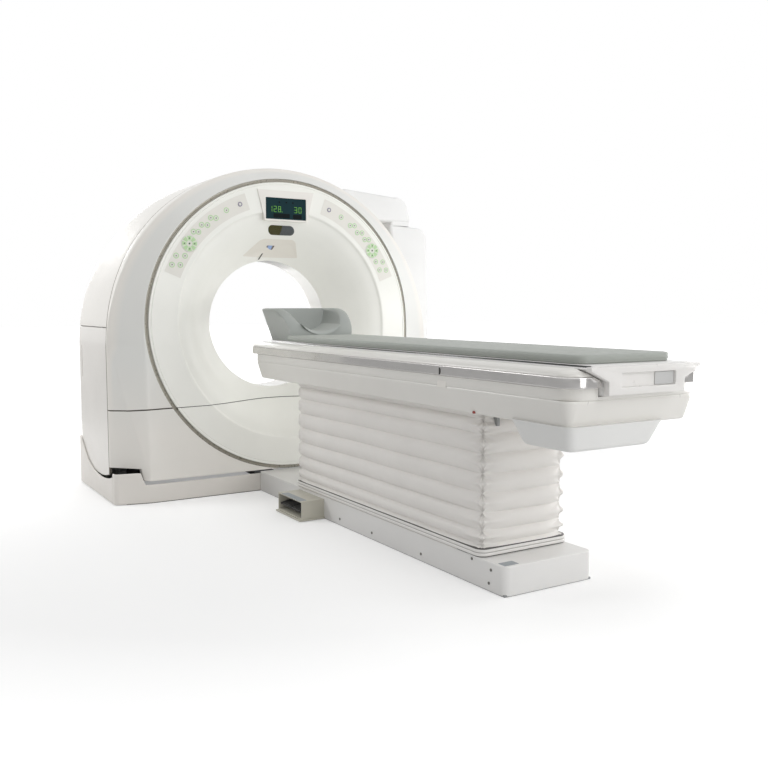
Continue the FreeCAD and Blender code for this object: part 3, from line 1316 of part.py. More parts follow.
# ---------------------------------------------------------------- build and write
def build():
    base_frame()
    stand("left_stand", -1)
    stand("right_stand", 1)
    tilt_gearmotor()
    anchor_bolts()
    base_front_cover()
    base_side_covers()
    base_rear_cover()
    front_covers()
    dish()
    ring_trim()
    bore()
    side_covers()
    rear_cover()
    rear_units()
    display()
    front_fittings()
    travelling_keys()
    tilt_frame()
    trunnion_shafts()
    rotor()
    table_base_cover()
    table_base_frame()
    lift_actuator()
    table_base_screws()
    foot_switch()
    bellows_trim()
    bellows()
    lifting_frame()
    bright_strips()
    underslung_housing()
    scissor()
    tabletop()
    mattress()
    headrest()
    headrest_cushion()


def check():
    """Stops before anything is written if an object or a shape is bad."""
    for thing in doc.Objects:
        if "Invalid" in thing.State or "Error" in thing.State:
            raise RuntimeError("failed object: " + thing.Name)
    for node in nodes:
        if node.Shape.isNull() or not node.Shape.isValid() or not node.Shape.Solids:
            raise RuntimeError("bad shape: " + node.Label)


build()
doc.recompute()
check()
os.makedirs("parts", exist_ok=True)
for node in nodes:
    node.Shape.exportStep(f"parts/{node.Label}.step")
    size = node.Shape.BoundBox
    print(f"{node.Label:26s} {len(node.Shape.Solids):3d} solids {len(node.Shape.Faces):4d} faces"
          f"  x {size.XMin:8.1f} {size.XMax:8.1f}  y {size.YMin:8.1f} {size.YMax:8.1f}"
          f"  z {size.ZMin:7.1f} {size.ZMax:7.1f}")
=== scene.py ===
"""CT scanner: the looks of its covers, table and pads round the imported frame.

Shapes are worked out in millimetres, in the frame's own axes: the origin lies on the
floor below the bore's centre, X to the right, Y into the gantry, Z up.
"""
import math

import bmesh
import bpy
import numpy as np
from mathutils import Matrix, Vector

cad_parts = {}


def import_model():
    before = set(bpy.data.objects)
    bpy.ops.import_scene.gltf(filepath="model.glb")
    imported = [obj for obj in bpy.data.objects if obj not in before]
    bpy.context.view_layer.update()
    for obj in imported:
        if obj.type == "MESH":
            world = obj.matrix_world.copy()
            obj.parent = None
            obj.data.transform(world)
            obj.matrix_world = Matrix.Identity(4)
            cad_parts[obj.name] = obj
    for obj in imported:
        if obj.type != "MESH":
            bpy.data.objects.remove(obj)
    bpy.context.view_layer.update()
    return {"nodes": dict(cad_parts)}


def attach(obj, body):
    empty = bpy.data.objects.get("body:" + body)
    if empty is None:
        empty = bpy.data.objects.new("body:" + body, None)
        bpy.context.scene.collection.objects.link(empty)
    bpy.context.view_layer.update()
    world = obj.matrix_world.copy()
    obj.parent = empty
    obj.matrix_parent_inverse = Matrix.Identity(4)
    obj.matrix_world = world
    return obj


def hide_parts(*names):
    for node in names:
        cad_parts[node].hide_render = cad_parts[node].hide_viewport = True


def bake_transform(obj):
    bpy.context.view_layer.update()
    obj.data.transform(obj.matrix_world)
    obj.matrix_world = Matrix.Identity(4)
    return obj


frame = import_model()
NODES = frame["nodes"]

ISO = 937.0                  # height of the bore's centre
RING_OUT = 826.0             # radius of the front cover's inner edge
LEAN = 90.0 / 820.0          # how much the front comes forward for each mm below the centre
OUTER_ARCH = (1010.0, 117)   # radius of the gantry's arch; its centre below the bore's
CREASE_ARCH = (975.0, 102)   # the same for the crease
SPLIT_MIDDLE, SPLIT_RISE = 502.0, 20.0
SPLIT_EDGE = 492             # mean height of the split beside the dish
RIM_DEPTH, OUTER_DEPTH = 14, 66      # the section's inner end behind the lean; its side edge
NOTCH = 183                  # below this height the lower cover is cut back
WALL = 5                     # wall of the covers and the dish
SECTION_CUTS = (2.5, 20, 15, 26)     # how far the corners of the section are rounded
INSIDE = (0, 400, 820)       # a point inside the gantry
IN_BASE = (0, 300, 60)       # a point inside the base
GRAIN_DEPTH = 0.0004         # metres, the height of a finish's fine grain
# dish: radius and depth of its front from the rim to the throat
DISH_CORNERS = ((806, 13.5), (806, -8), (796, -8), (793.5, -5), (791, -8), (649, -8), (640, 3),
                (589, 26), (539, 62), (495, 105), (375, 250))
DISH_CUTS = (3, 1.2, 1.2, 1.2, 12, 14, 22, 22, 26)
KEY_CIRCLE = 723.5           # radius on which the travelling keys lie
BAND_DEPTH = -8.8            # front of the flat control band, where the keys lie
PATCH_ROOT = 1.5             # how deep a patch reaches into what it sits on
ROUND_KEYS = ((360, 1567), (421, 1521), (451, 1521), (470, 1481), (503, 1481), (522, 1442),
              (550, 1442), (600, 1311), (649, 1311), (627, 1262), (673, 1262))
SEGMENTS = {"0": "abcdef", "1": "bc", "2": "abged", "3": "abgcd", "8": "abcdefg"}
# the channel along the table's top that the tabletop's keel runs in
CHANNEL = ((253, 900), (253, 842), (175, 805), (175, 757), (-175, 757), (-175, 805),
           (-253, 842), (-253, 900))
REST_BASE, REST_TOP = 857.8, 1030.0  # the headrest's underside and its highest rim
TROUGH_AXIS, TROUGH_RADIUS = 1036, 150.0
VALLEYS = np.array([128.0, 156, 207, 275, 348, 421, 497, 570, 629, 680])   # of the bellows
WORLD_LIGHT = 0.44           # strength of the world's own light


# ------------------------------------------------------------------ finishes
def srgb(red, green, blue):
    """The linear colour of an sRGB triple from 0 to 255."""
    value = np.array([red, green, blue]) / 255
    linear = np.where(value <= 0.04045, value / 12.92, ((value + 0.055) / 1.055) ** 2.4)
    return (*linear.tolist(), 1.0)


class Wiring:
    """The nodes of a material or world, added and linked in one step."""

    def __init__(self, owner):
        owner.use_nodes = True
        self.nodes, self.links = owner.node_tree.nodes, owner.node_tree.links

    def add(self, kind, *inputs, **settings):
        """A node with its settings, and (input, socket or value) pairs fed to it."""
        node = self.nodes.new("ShaderNode" + kind)
        for name, value in settings.items():
            setattr(node, name, value)
        for place, value in inputs:
            if isinstance(value, bpy.types.NodeSocket):
                self.links.new(value, node.inputs[place])
            else:
                node.inputs[place].default_value = value
        return node


class Finish(Wiring):
    """A material of nodes: a slightly uneven colour and gloss, a fine grain, and marks."""

    def __init__(self, name, slot, colour, rough, uneven=0.025, cloud=5, grain=0.03,
                 grain_size=400, metal=0, coat=0, rough_spread=0.05, specular=0.5):
        self.slot = slot
        self.material = bpy.data.materials.new(name)
        super().__init__(self.material)
        self.shader = self.nodes["Principled BSDF"]
        for socket, value in (("Metallic", metal), ("Coat Weight", coat),
                              ("Coat Roughness", 0.08), ("Specular IOR Level", specular)):
            self.shader.inputs[socket].default_value = value
        self.place = self.add("TexCoord").outputs["Object"]
        self.x, self.y, self.z = self.add("SeparateXYZ", (0, self.place)).outputs
        dark, pale = ([min(1, channel * (1 + sign * 1.6 * uneven)) for channel in colour[:3]]
                      + [1] for sign in (-1, 1))
        self.colour = self.blend(self.noise(cloud, 4), dark, pale)
        gloss = self.ranged(self.noise(cloud * 6, 3), rough - rough_spread, rough + rough_spread)
        self.links.new(gloss, self.shader.inputs["Roughness"])
        if grain:
            bump = self.add("Bump", ("Strength", grain), ("Distance", GRAIN_DEPTH),
                            ("Height", self.noise(grain_size, 2)))
            self.links.new(bump.outputs[0], self.shader.inputs["Normal"])
        self.links.new(self.colour, self.shader.inputs["Base Color"])

    def noise(self, scale, detail):
        return self.add("TexNoise", ("Scale", scale), ("Detail", detail),
                        ("Vector", self.place)).outputs[0]

    def sum(self, operation, *values):
        """One step of arithmetic on sockets and numbers."""
        return self.add("Math", *enumerate(values), operation=operation).outputs[0]

    def both(self, first, second):
        """The product of two shares."""
        return self.sum("MULTIPLY", first, second)

    def blend(self, share, first, second):
        return self.add("Mix", (0, share), (6, first), (7, second),
                        data_type="RGBA").outputs[2]

    def ranged(self, value, low, high, start=0.3, end=0.7):
        return self.add("MapRange", (1, start), (2, end), (3, max(low, 0.02)),
                        (4, min(high, 1)), (0, value)).outputs[0]

    def share(self, value, start, end):
        """0 below start, 1 above end."""
        socket = self.ranged(value, 0, 1, start, end)
        socket.node.inputs[3].default_value = 0.0
        return socket

    def within(self, value, low, high, soft=0.0008):
        """1 where a coordinate lies between two values, with soft edges."""
        return self.sum("SUBTRACT", self.share(value, low - soft, low + soft),
                        self.share(value, high - soft, high + soft))

    def mark(self, share, colour):
        """Lays a colour over what is there."""
        self.colour = self.blend(share, self.colour, srgb(*colour))
        self.links.new(self.colour, self.shader.inputs["Base Color"])


FINISHES = {name: Finish(name, slot, srgb(*colour), rough, **more)
            for name, slot, colour, rough, more in (
    ("front_paint", "white_cover", (232, 229, 223), 0.34, dict(coat=0.2)),
    ("dish_paint", "white_cover", (243, 243, 237), 0.36, dict(coat=0.15)),
    ("cover_white", "white_cover", (232, 229, 223), 0.34, dict(coat=0.2)),
    ("side_paint", "white_cover", (231, 228, 223), 0.36, dict(coat=0.15)),
    ("plate_cream", "white_cover", (231, 227, 218), 0.36, dict(coat=0.15)),
    ("base_white", "base_cover", (228, 224, 218), 0.42, dict(coat=0.1)),
    ("table_white", "table_cover", (228, 226, 221), 0.34, dict(coat=0.2, grain=0)),
    ("lower_white", "base_cover", (229, 228, 226), 0.38, dict(coat=0.15)),
    ("trim_white", "base_cover", (229, 227, 224), 0.36, dict(coat=0.15)),
    ("bore_white", "rear_tunnel", (240, 239, 236), 0.3, dict(coat=0.3)),
    ("window_film", "scan_window", (238, 237, 234), 0.2, dict(uneven=0.01, coat=0.5)),
    ("unit_white", "white_cover", (238, 238, 237), 0.4, dict(coat=0.1)),
    ("bezel_white", "bezel", (235, 232, 226), 0.34, dict(coat=0.2)),
    ("ring_metal", "ring_trim", (158, 154, 143), 0.3, dict(metal=0.35, uneven=0.05, cloud=12)),
    # dark seal strips in the white cover's slot: their colour is painted shade for the gaps
    ("gap_shade_seal", "white_cover", (84, 79, 71), 0.7, dict(grain=0.4, grain_size=500)),
    ("dark_gap", "dark_lamp", (32, 30, 28), 0.7, dict(grain=0.4)),
    ("screen_glass", "display", (16, 46, 52), 0.35,
     dict(uneven=0.1, cloud=30, grain=0, specular=0.12)),
    ("screen_dark", "display", (5, 14, 17), 0.4, dict(uneven=0.1, grain=0, specular=0.1)),
    ("digit_green", "display", (112, 186, 62), 0.4, dict(uneven=0.15, cloud=60, grain=0)),
    ("lamp_glass", "dark_lamp", (70, 68, 38), 0.3,
     dict(uneven=0.08, cloud=25, grain=0, specular=0.2)),
    ("indicator_glass", "indicator", (150, 176, 222), 0.2,
     dict(uneven=0.1, cloud=60, coat=0.4, grain=0)),
    ("key_pale", "keypad", (222, 224, 214), 0.4, dict(uneven=0.03, cloud=60, coat=0.2)),
    ("key_green", "keypad", (184, 216, 166), 0.45, dict(uneven=0.05, cloud=80)),
    ("key_ink", "keypad", (82, 92, 84), 0.5, dict(uneven=0.1, cloud=90)),
    ("membrane", "keypad", (230, 228, 221), 0.45, dict(uneven=0.02, cloud=20)),
    ("stop_violet", "stop_button", (150, 144, 160), 0.35,
     dict(uneven=0.05, cloud=60, coat=0.2)),
    # frame steel darkened to near black: painted shade for the frame inside the base
    ("frame_in_painted_shade", "frame_steel", (46, 45, 44), 0.6, dict(uneven=0.08, cloud=9)),
    ("frame_steel", "frame_steel", (150, 152, 152), 0.5, dict(metal=0.3, uneven=0.06, cloud=9)),
    ("bare_steel", "machined_steel", (176, 176, 174), 0.28,
     dict(metal=1, uneven=0.05, cloud=20)),
    ("screw_steel", "screws", (120, 118, 114), 0.4, dict(metal=0.8, uneven=0.08, cloud=60)),
    ("motor_grey", "motor_paint", (88, 92, 96), 0.5,
     dict(uneven=0.06, cloud=12, grain=0.4, grain_size=350)),
    ("cast_alloy", "rotor_alloy", (172, 173, 172), 0.42,
     dict(metal=0.8, uneven=0.06, grain=0.4, grain_size=260)),
    ("slip_black", "slip_ring", (52, 48, 44), 0.45, dict(uneven=0.08, cloud=20)),
    ("switch_beige", "switch_housing", (196, 193, 180), 0.36,
     dict(uneven=0.04, cloud=16, coat=0.15)),
    ("label_grey", "switch_housing", (150, 156, 160), 0.5, dict(uneven=0.08, cloud=60)),
    ("pedal_black", "pedals", (34, 34, 34), 0.5,
     dict(uneven=0.1, cloud=30, grain=0.5, grain_size=420)),
    ("board_white", "tabletop", (228, 227, 225), 0.35, dict(coat=0.2)),
    ("insert_grey", "tabletop", (196, 196, 195), 0.4, dict(uneven=0.03, cloud=30)),
    ("pad_vinyl", "mattress", (163, 167, 161), 0.5,
     dict(uneven=0.03, cloud=7, grain=0.5, grain_size=330, rough_spread=0.07)),
    ("rest_vinyl", "headrest", (160, 164, 160), 0.46,
     dict(uneven=0.03, cloud=9, grain=0.4, grain_size=360)),
    ("cushion_vinyl", "headrest_cushion", (172, 176, 172), 0.5,
     dict(uneven=0.03, cloud=14, grain=0.5, grain_size=360)),
    ("bellows_cloth", "bellows", (232, 229, 225), 0.6,
     dict(cloud=6, grain=0.45, grain_size=420)),
    ("housing_white", "table_cover", (224, 224, 222), 0.38, dict(coat=0.1)),
    ("lamp_red", "table_cover", (150, 60, 50), 0.4, dict(uneven=0.1, cloud=80)),
    ("grip_white", "tabletop", (230, 228, 225), 0.32, dict(coat=0.2)),
    ("strip_gloss", "bright_strip", (218, 216, 214), 0.13,
     dict(metal=0.75, uneven=0.02, grain=0)))}
# painted shade: the grey of the covers' seam grooves, and the black of the shadow gaps at the
# bellows' trim
SEAM_SHADE_GREY, GAP_SHADE_BLACK = (132, 124, 113), (70, 68, 66)


def painted_lines():
    """Seams, edges and dark lines laid over the finishes in colour; most of them are painted
    shade in seams, grooves and gaps.
    """
    # painted shade: a grey line over each cover's edge where it turns into the seam's groove in
    # front of the side covers
    for name in ("front_paint", "cover_white", "side_paint"):
        paint = FINISHES[name]
        slant = paint.both(paint.share(paint.z, 0.942, 1.833), 0.12)
        past = paint.sum("SUBTRACT", paint.y, paint.sum("ADD", slant, 0.08))
        paint.mark(paint.within(past, -0.002, 0.0085, 0.0015), SEAM_SHADE_GREY)
    # painted shade: the front cover is greyed in front of its crease, above about 0.75 m,
    # standing for the shade and dark reflections on the band round the ring
    paint = FINISHES["front_paint"]
    paint.mark(paint.both(0.8, paint.both(paint.share(paint.y, 0.056, 0.040),
                                          paint.share(paint.z, 0.35, 0.75))), (222, 223, 220))
    paint = FINISHES["table_white"]
    tail = paint.share(paint.y, -2.638, -2.641)
    for side in (-1, 1):
        slope = paint.sum("MULTIPLY_ADD", paint.z, side * 0.19,
                          paint.sum("SUBTRACT", paint.x, side * 0.1415))
        line = paint.within(slope, side * 0.2115 - 0.0012, side * 0.2115 + 0.0012, 0.0006)
        paint.mark(paint.both(tail, paint.both(paint.share(paint.z, 0.747, 0.745), line)),
                   (150, 148, 146))
    paint = FINISHES["trim_white"]
    # painted shade: a black line in the step under the bellows, a grey line in the groove
    # between the bands, and at the foot a black shadow gap towards the rear that becomes a pale
    # brown line along the sides
    paint.mark(paint.within(paint.z, 0.1408, 0.1460, 0.0004), GAP_SHADE_BLACK)
    paint.mark(paint.within(paint.z, 0.1278, 0.1300, 0.0005), (150, 147, 143))
    for top, start, end, colour in ((0.1156, -1.955, -1.965, GAP_SHADE_BLACK),
                                    (0.1145, -1.965, -1.955, (178, 168, 160))):
        paint.mark(paint.both(paint.within(paint.z, 0.1120, top, 0.0004),
                              paint.share(paint.y, start, end)), colour)
    paint = FINISHES["lamp_glass"]
    paint.mark(paint.share(paint.x, -0.003, 0.003), (86, 90, 92))
    paint = FINISHES["indicator_glass"]
    paint.mark(paint.sum("SUBTRACT", 1, paint.within(paint.x, -0.044, -0.016, 0.004)),
               (112, 98, 92))
    # painted shadow: a black band along the board's sides, 850.5 to 856.2 mm high, stands for
    # the shadow gap between the board and the rails
    paint = FINISHES["board_white"]
    paint.mark(paint.both(paint.within(paint.z, 0.8505, 0.8562, 0.0003),
                          paint.share(paint.y, -2.664, -2.660)), (40, 40, 40))


# ------------------------------------------------------------------ meshes
def placed(name, data):
    """An object for a mesh, lamp or camera, linked into the scene."""
    item = bpy.data.objects.new(name, data)
    bpy.context.scene.collection.objects.link(item)
    return item


def face_outwards(data):
    """Merges doubles of a closed mesh and turns its faces outwards."""
    mesh = bmesh.new()
    mesh.from_mesh(data)
    bmesh.ops.remove_doubles(mesh, verts=mesh.verts, dist=2e-6)
    bmesh.ops.recalc_face_normals(mesh, faces=mesh.faces)
    mesh.to_mesh(data)
    mesh.free()


def dress(piece, body, finish, sharp=32, node=None):
    """Gives a piece its finish, its shading, its body and the node that it replaces."""
    data = piece.data
    data.shade_smooth()
    data.set_sharp_from_angle(angle=math.radians(sharp))
    data.materials.clear()
    data.materials.append(FINISHES[finish].material)
    if body:
        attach(piece, body)
    if node:
        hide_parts(node)
    return piece


def mesh_of(name, points, faces, closed=True):
    """A mesh from points in mm and faces given as index arrays."""
    data = bpy.data.meshes.new(name)
    corners = [face for part in faces for face in np.atleast_2d(part).tolist()]
    data.from_pydata((np.reshape(points, (-1, 3)) / 1000).tolist(), [], corners)
    data.validate()
    if closed:
        face_outwards(data)
    return data


def mesh_piece(name, body, finish, points, faces, sharp=32, closed=True, node=None):
    """A piece of the scanner from points and faces; node is the CAD node it stands for."""
    return dress(placed(name, mesh_of(name, points, faces, closed)), body, finish, sharp, node)


def joined(*shells):
    """Several (points, faces) shells as one."""
    points, faces, offset = [], [], 0
    for spots, parts in shells:
        spots = np.asarray(spots).reshape(-1, 3)
        points.append(spots)
        faces += [np.asarray(part) + offset for part in parts]
        offset += len(spots)
    return np.concatenate(points), faces


def grid_faces(rows, columns, wrap_rows=False, wrap_columns=False, offset=0, flip=False):
    """Quads between the neighbours of a grid of points."""
    row = np.arange(rows if wrap_rows else rows - 1)
    column = np.arange(columns if wrap_columns else columns - 1)
    a, b = np.meshgrid(row, column, indexing="ij")
    c, d = (a + 1) % rows, (b + 1) % columns
    quads = np.stack([a * columns + b, c * columns + b, c * columns + d, a * columns + d], -1)
    quads = quads.reshape(-1, 4) + offset
    return quads[:, ::-1] if flip else quads


def surface(x, y, z):
    """A grid of points from coordinates that are spread over each other."""
    return np.stack(np.broadcast_arrays(x, y, z), -1)


def with_rims(grid, radius, axis):
    """Adds rows close to both ends of a grid, so that an edge can turn over in them."""
    grid = np.moveaxis(grid, axis, 0)
    shares = np.array([0.0, 0.08, 0.25, 0.5, 0.75, 1.0])
    ends = []
    for line in (grid, grid[::-1]):
        step = line[1] - line[0]
        length = np.linalg.norm(step, axis=-1, keepdims=True)
        reach = np.minimum(radius / np.maximum(length, 1e-9), 0.9)
        ends.append(line[0] + step * reach * shares[:, None, None])
    whole = np.concatenate([ends[0], grid[1:-1], ends[1][::-1]])
    return np.moveaxis(whole, 0, axis)


def unit(vectors):
    """Vectors of length one."""
    return vectors / np.maximum(np.linalg.norm(vectors, axis=-1, keepdims=True), 1e-9)


def slopes(grid, axis, wrap):
    """Differences along one axis of a grid of points, wrapped round if it is closed."""
    if wrap:
        return np.roll(grid, -1, axis) - np.roll(grid, 1, axis)
    return np.gradient(grid, axis=axis)


def inward(grid, toward, wrap=(False, False)):
    """Unit normals of a grid of points, on the side where a point lies."""
    normal = unit(np.cross(slopes(grid, 0, wrap[0]), slopes(grid, 1, wrap[1])))
    return normal * np.sign(np.sum(normal * (np.asarray(toward, dtype=float) - grid)))


def moulded(grid, wall, edge, toward, wrap=(False, False)):
    """A closed shell under a grid of points, its open edges turned over by a small radius.

    The grid's surface sinks near an open edge by r - sqrt(r^2 - (r - d)^2), where d is the
    distance to the edge. The inner face lies one wall below. toward is a point on the
    inner side.
    """
    for axis in (0, 1):
        if not wrap[axis]:
            grid = with_rims(grid, edge, axis)
    normal = inward(grid, toward, wrap)
    sink = np.zeros(grid.shape[:2])
    for axis in (0, 1):
        if wrap[axis]:
            continue
        steps = np.linalg.norm(np.diff(grid, axis=axis), axis=-1)
        zero = np.zeros_like(np.take(steps, [0], axis))
        run = np.concatenate([zero, np.cumsum(steps, axis)], axis)
        near = np.minimum(run, np.take(run, [-1], axis) - run)
        gap = np.clip(edge - near, 0, edge)
        sink = np.maximum(sink, edge - np.sqrt(np.maximum(edge ** 2 - gap ** 2, 0)))
    outer = grid + normal * sink[..., None]
    inner = grid + normal * wall
    rows, columns = grid.shape[:2]
    total = rows * columns
    faces = [grid_faces(rows, columns, *wrap), grid_faces(rows, columns, *wrap, total, True)]
    index = np.arange(total).reshape(rows, columns)
    rims = []
    if not wrap[0]:
        rims += [(index[0], wrap[1]), (index[-1][::-1], wrap[1])]
    if not wrap[1]:
        rims += [(index[:, 0][::-1], wrap[0]), (index[:, -1], wrap[0])]
    for line, loop in rims:
        following = np.roll(line, -1) if loop else line[1:]
        start = line if loop else line[:-1]
        faces.append(np.stack([start, following, following + total, start + total], -1))
    return np.concatenate([outer.reshape(-1, 3), inner.reshape(-1, 3)]), faces


def sunk(grid, depth, toward):
    """A grid of points moved inwards along its own normals."""
    return grid + inward(grid, toward) * depth


def rounded_path(corners, cuts, turns=7, runs=4):
    """Lines through corners, each inner corner rounded by a Bezier arc of a given cut.

    corners has the shape (corner, station, 3); the result has (station, point, 3).
    turns is the number of points of an arc, runs the number of steps between two arcs.
    """
    corners = np.asarray(corners, dtype=float)
    share = np.linspace(0, 1, turns)[:, None, None]
    run = np.linspace(0, 1, runs + 1)[:, None, None]
    pieces, before = [], corners[0]
    for back, here, ahead, cut in zip(corners, corners[1:], corners[2:], cuts):
        back, ahead = back - here, ahead - here
        low, high = (np.linalg.norm(arm, axis=-1, keepdims=True) for arm in (back, ahead))
        cut = np.minimum(cut, 0.45 * np.minimum(low, high))
        start, end = here + back / low * cut, here + ahead / high * cut
        pieces.append(before + (start - before) * run[:-1])
        arc = (1 - share) ** 2 * start + 2 * share * (1 - share) * here + share ** 2 * end
        pieces.append(arc[:-1])
        before = end
    pieces.append(before + (corners[-1] - before) * run)
    return np.moveaxis(np.concatenate(pieces), 0, 1)


def bent_line(corners, cuts, turns, runs):
    """A line through flat corners, its bends rounded."""
    spots = np.column_stack([np.array(corners, dtype=float), np.zeros(len(corners))])
    return rounded_path(spots[:, None, :], cuts, turns, runs)[0][:, :2]


def stacked(loops):
    """A closed solid through level loops, capped flat at both ends."""
    rows, columns = loops.shape[:2]
    total = rows * columns
    caps = [np.arange(columns)[::-1][None, :], np.arange(total - columns, total)[None, :]]
    return loops.reshape(-1, 3), [grid_faces(rows, columns, False, True), *caps]


def round_rectangle(half, front, rear, front_radius, rear_radius, inset=0, arc=14):
    """A loop in plan: a rectangle with rounded corners, drawn in by an inset."""
    spots = []
    corners = ((half, rear, rear_radius, -90), (half, front, front_radius, 0),
               (-half, front, front_radius, 90), (-half, rear, rear_radius, 180))
    for x, y, radius, start in corners:
        centre_x = x - math.copysign(radius, x)
        centre_y = y + radius if y == rear else y - radius
        turn = np.radians(np.linspace(start, start + 90, arc))
        reach = max(radius - inset, 0.5)
        shift = radius - inset - reach
        sign_x, sign_y = math.copysign(1, x), (-1 if y == rear else 1)
        spots.append(np.stack([centre_x + sign_x * shift + reach * np.cos(turn),
                               centre_y + sign_y * shift + reach * np.sin(turn)], -1))
    return np.concatenate(spots)


def level_loops(levels, *plan):
    """Loops of a rounded rectangle at (height, inset) levels, for stacked()."""
    half, front, rear, front_radius, rear_radius, *arc = plan
    rows = []
    for height, inset in levels:
        loop = round_rectangle(half, front, rear, front_radius, rear_radius, inset, *arc)
        rows.append(np.column_stack([loop, np.full(len(loop), height)]))
    return np.array(rows)


def quarter_round(height, inset_radius, rise, steps):
    """(height, inset) levels up a rounded upper edge."""
    turn = np.radians(np.linspace(0, 90, steps))
    return [(height + rise * math.sin(a), inset_radius * (1 - math.cos(a))) for a in turn]


def turned_grid(line, steps=240, centre=(0, ISO)):
    """A profile of (radius, depth) turned about an axis along Y, the bore's if not said."""
    turn = np.radians(np.arange(steps) * 360 / steps)[:, None]
    radius, depth = line[None, :, 0], line[None, :, 1]
    return surface(centre[0] + radius * np.cos(turn), depth, centre[1] + radius * np.sin(turn))


def closed_turn(loop, steps, centre=(0, ISO)):
    """A closed (radius, depth) loop turned about an axis; points on the axis make a pole."""
    grid = turned_grid(np.array(loop), steps, centre)
    return grid.reshape(-1, 3), [grid_faces(steps, len(loop), True, True)]


def turned_shell(line, wall, steps):
    """A closed ring whose wall lies outside a turned profile."""
    outside = line.copy()
    outside[:, 0] += wall
    return closed_turn(np.concatenate([line, outside[::-1]]), steps)


def prism_shell(outline, axis, low, high):
    """A closed prism: an outline in the other two axes carried along one axis."""
    outline = np.asarray(outline, dtype=float)
    count = len(outline)
    points = np.zeros((2 * count, 3))
    others = [number for number in range(3) if number != axis]
    points[:, others] = np.concatenate([outline, outline])
    points[:count, axis], points[count:, axis] = low, high
    ring = np.arange(count)
    after = np.roll(ring, -1)
    sides = np.stack([ring, after, after + count, ring + count], -1)
    return points, [sides, ring[::-1][None, :], (ring + count)[None, :]]


def box(low_x, low_z, high_x, high_z):
    """The four corners of an upright rectangle."""
    return [(low_x, low_z), (high_x, low_z), (high_x, high_z), (low_x, high_z)]


def filled(outline, length, rounding):
    """A closed outline with its long steps cut into equal parts of about one length."""
    parts = []
    for start, end in zip(outline, np.roll(outline, -1, 0)):
        count = max(1, rounding(np.linalg.norm(end - start) / length))
        parts.append(start + (end - start) * (np.arange(count) / count)[:, None])
    return np.concatenate(parts)


def rounded_outline(corners, radii, steps=8, longest=8.0):
    """A closed outline through corners, each rounded by a quarter of an ellipse.

    Steps longer than the longest one are cut into equal parts.
    """
    corners = np.asarray(corners, dtype=float)
    radii = np.broadcast_to(radii, len(corners))
    spots = []
    turn = np.linspace(0, math.pi / 2, steps)[:, None]
    for number, here in enumerate(corners):
        back, ahead = corners[number - 1] - here, corners[(number + 1) % len(corners)] - here
        back, ahead = (arm / np.linalg.norm(arm) * radii[number] for arm in (back, ahead))
        spots.append(here + back * (1 - np.sin(turn)) + ahead * (1 - np.cos(turn)))
    return filled(np.concatenate(spots), longest, math.ceil)


def rounded_prism(corners, radius, steps, axis, low, high):
    """A prism of a rounded outline."""
    return prism_shell(rounded_outline(corners, radius, steps), axis, low, high)


def circle_outline(radius, steps):
    """A circle round the origin."""
    turn = np.radians(np.arange(steps) * 360 / steps)
    return np.column_stack([radius * np.cos(turn), radius * np.sin(turn)])


def swung(points, quarter, centre):
    """Points turned by a number of quarter turns and moved to a centre."""
    turn = math.radians(90 * quarter)
    return np.array(points) @ np.array([[math.cos(turn), math.sin(turn)],
                                        [-math.sin(turn), math.cos(turn)]]) + centre


def applied(piece, kind, **settings):
    """Adds a modifier, and keeps its result as the mesh."""
    modifier = piece.modifiers.new(kind.lower(), kind)
    for name, value in settings.items():
        setattr(modifier, name, value)
    graph = bpy.context.evaluated_depsgraph_get()
    result = bpy.data.meshes.new_from_object(piece.evaluated_get(graph))
    old = piece.data
    piece.modifiers.clear()
    piece.data = result
    result.name = piece.name
    bpy.data.meshes.remove(old)


def loose_object(name, points, faces):
    """A helper object that only cuts another and isn't kept."""
    return placed(name, mesh_of(name, points, faces))


def discard(item):
    """Removes a helper object with its mesh."""
    data = item.data
    bpy.data.objects.remove(item)
    bpy.data.meshes.remove(data)


def carve(piece, cutter):
    """Cuts a shape out of a piece and removes the cutter."""
    applied(piece, "BOOLEAN", operation="DIFFERENCE", object=cutter, solver="EXACT")
    discard(cutter)
    return piece


def refined(node, name, body, finish, bevel, segments=3, angle=24):
    """A copy of a CAD node with merged corners and rounded edges, in place of the node."""
    mesh = bmesh.new()
    mesh.from_mesh(NODES[node].data)
    bmesh.ops.remove_doubles(mesh, verts=mesh.verts, dist=1e-5)
    bmesh.ops.dissolve_limit(mesh, angle_limit=math.radians(0.6), verts=mesh.verts,
                             edges=mesh.edges)
    edges = [edge for edge in mesh.edges
             if len(edge.link_faces) == 2 and edge.calc_face_angle(0) > math.radians(angle)]
    bmesh.ops.bevel(mesh, geom=edges, offset=bevel / 1000, offset_type="OFFSET",
                    segments=segments, profile=0.5, affect="EDGES", clamp_overlap=True)
    bmesh.ops.recalc_face_normals(mesh, faces=mesh.faces)
    data = bpy.data.meshes.new(name)
    mesh.to_mesh(data)
    mesh.free()
    dress(placed(name, data), body, finish, 40, node)


def keep_node(finish, *names):
    """Gives CAD nodes that stay in view a finish of their own."""
    for name in names:
        for entry in NODES[name].material_slots:
            entry.material = FINISHES[finish].material


# ------------------------------------------------------------------ front of the gantry
def lean(height):
    """Forward shift of the front: LEAN times the depth below the bore's centre.

    The bend at the centre is softened over 60 mm on either side by a parabola.
    """
    below = ISO - np.asarray(height, dtype=float)
    soft = 60.0
    bent = np.where(below > soft, below,
                    np.where(below < -soft, 0, (below + soft) ** 2 / (4 * soft)))
    return -LEAN * bent


def leaning(points):
    """Points moved forward by the front's lean."""
    points = np.array(points, dtype=float)
    points[..., 1] += lean(points[..., 2])
    return points


def split_height(across):
    """Height of the arched split of the front at a distance from the middle."""
    return SPLIT_MIDDLE - SPLIT_RISE * (np.asarray(across) / 1212) ** 2


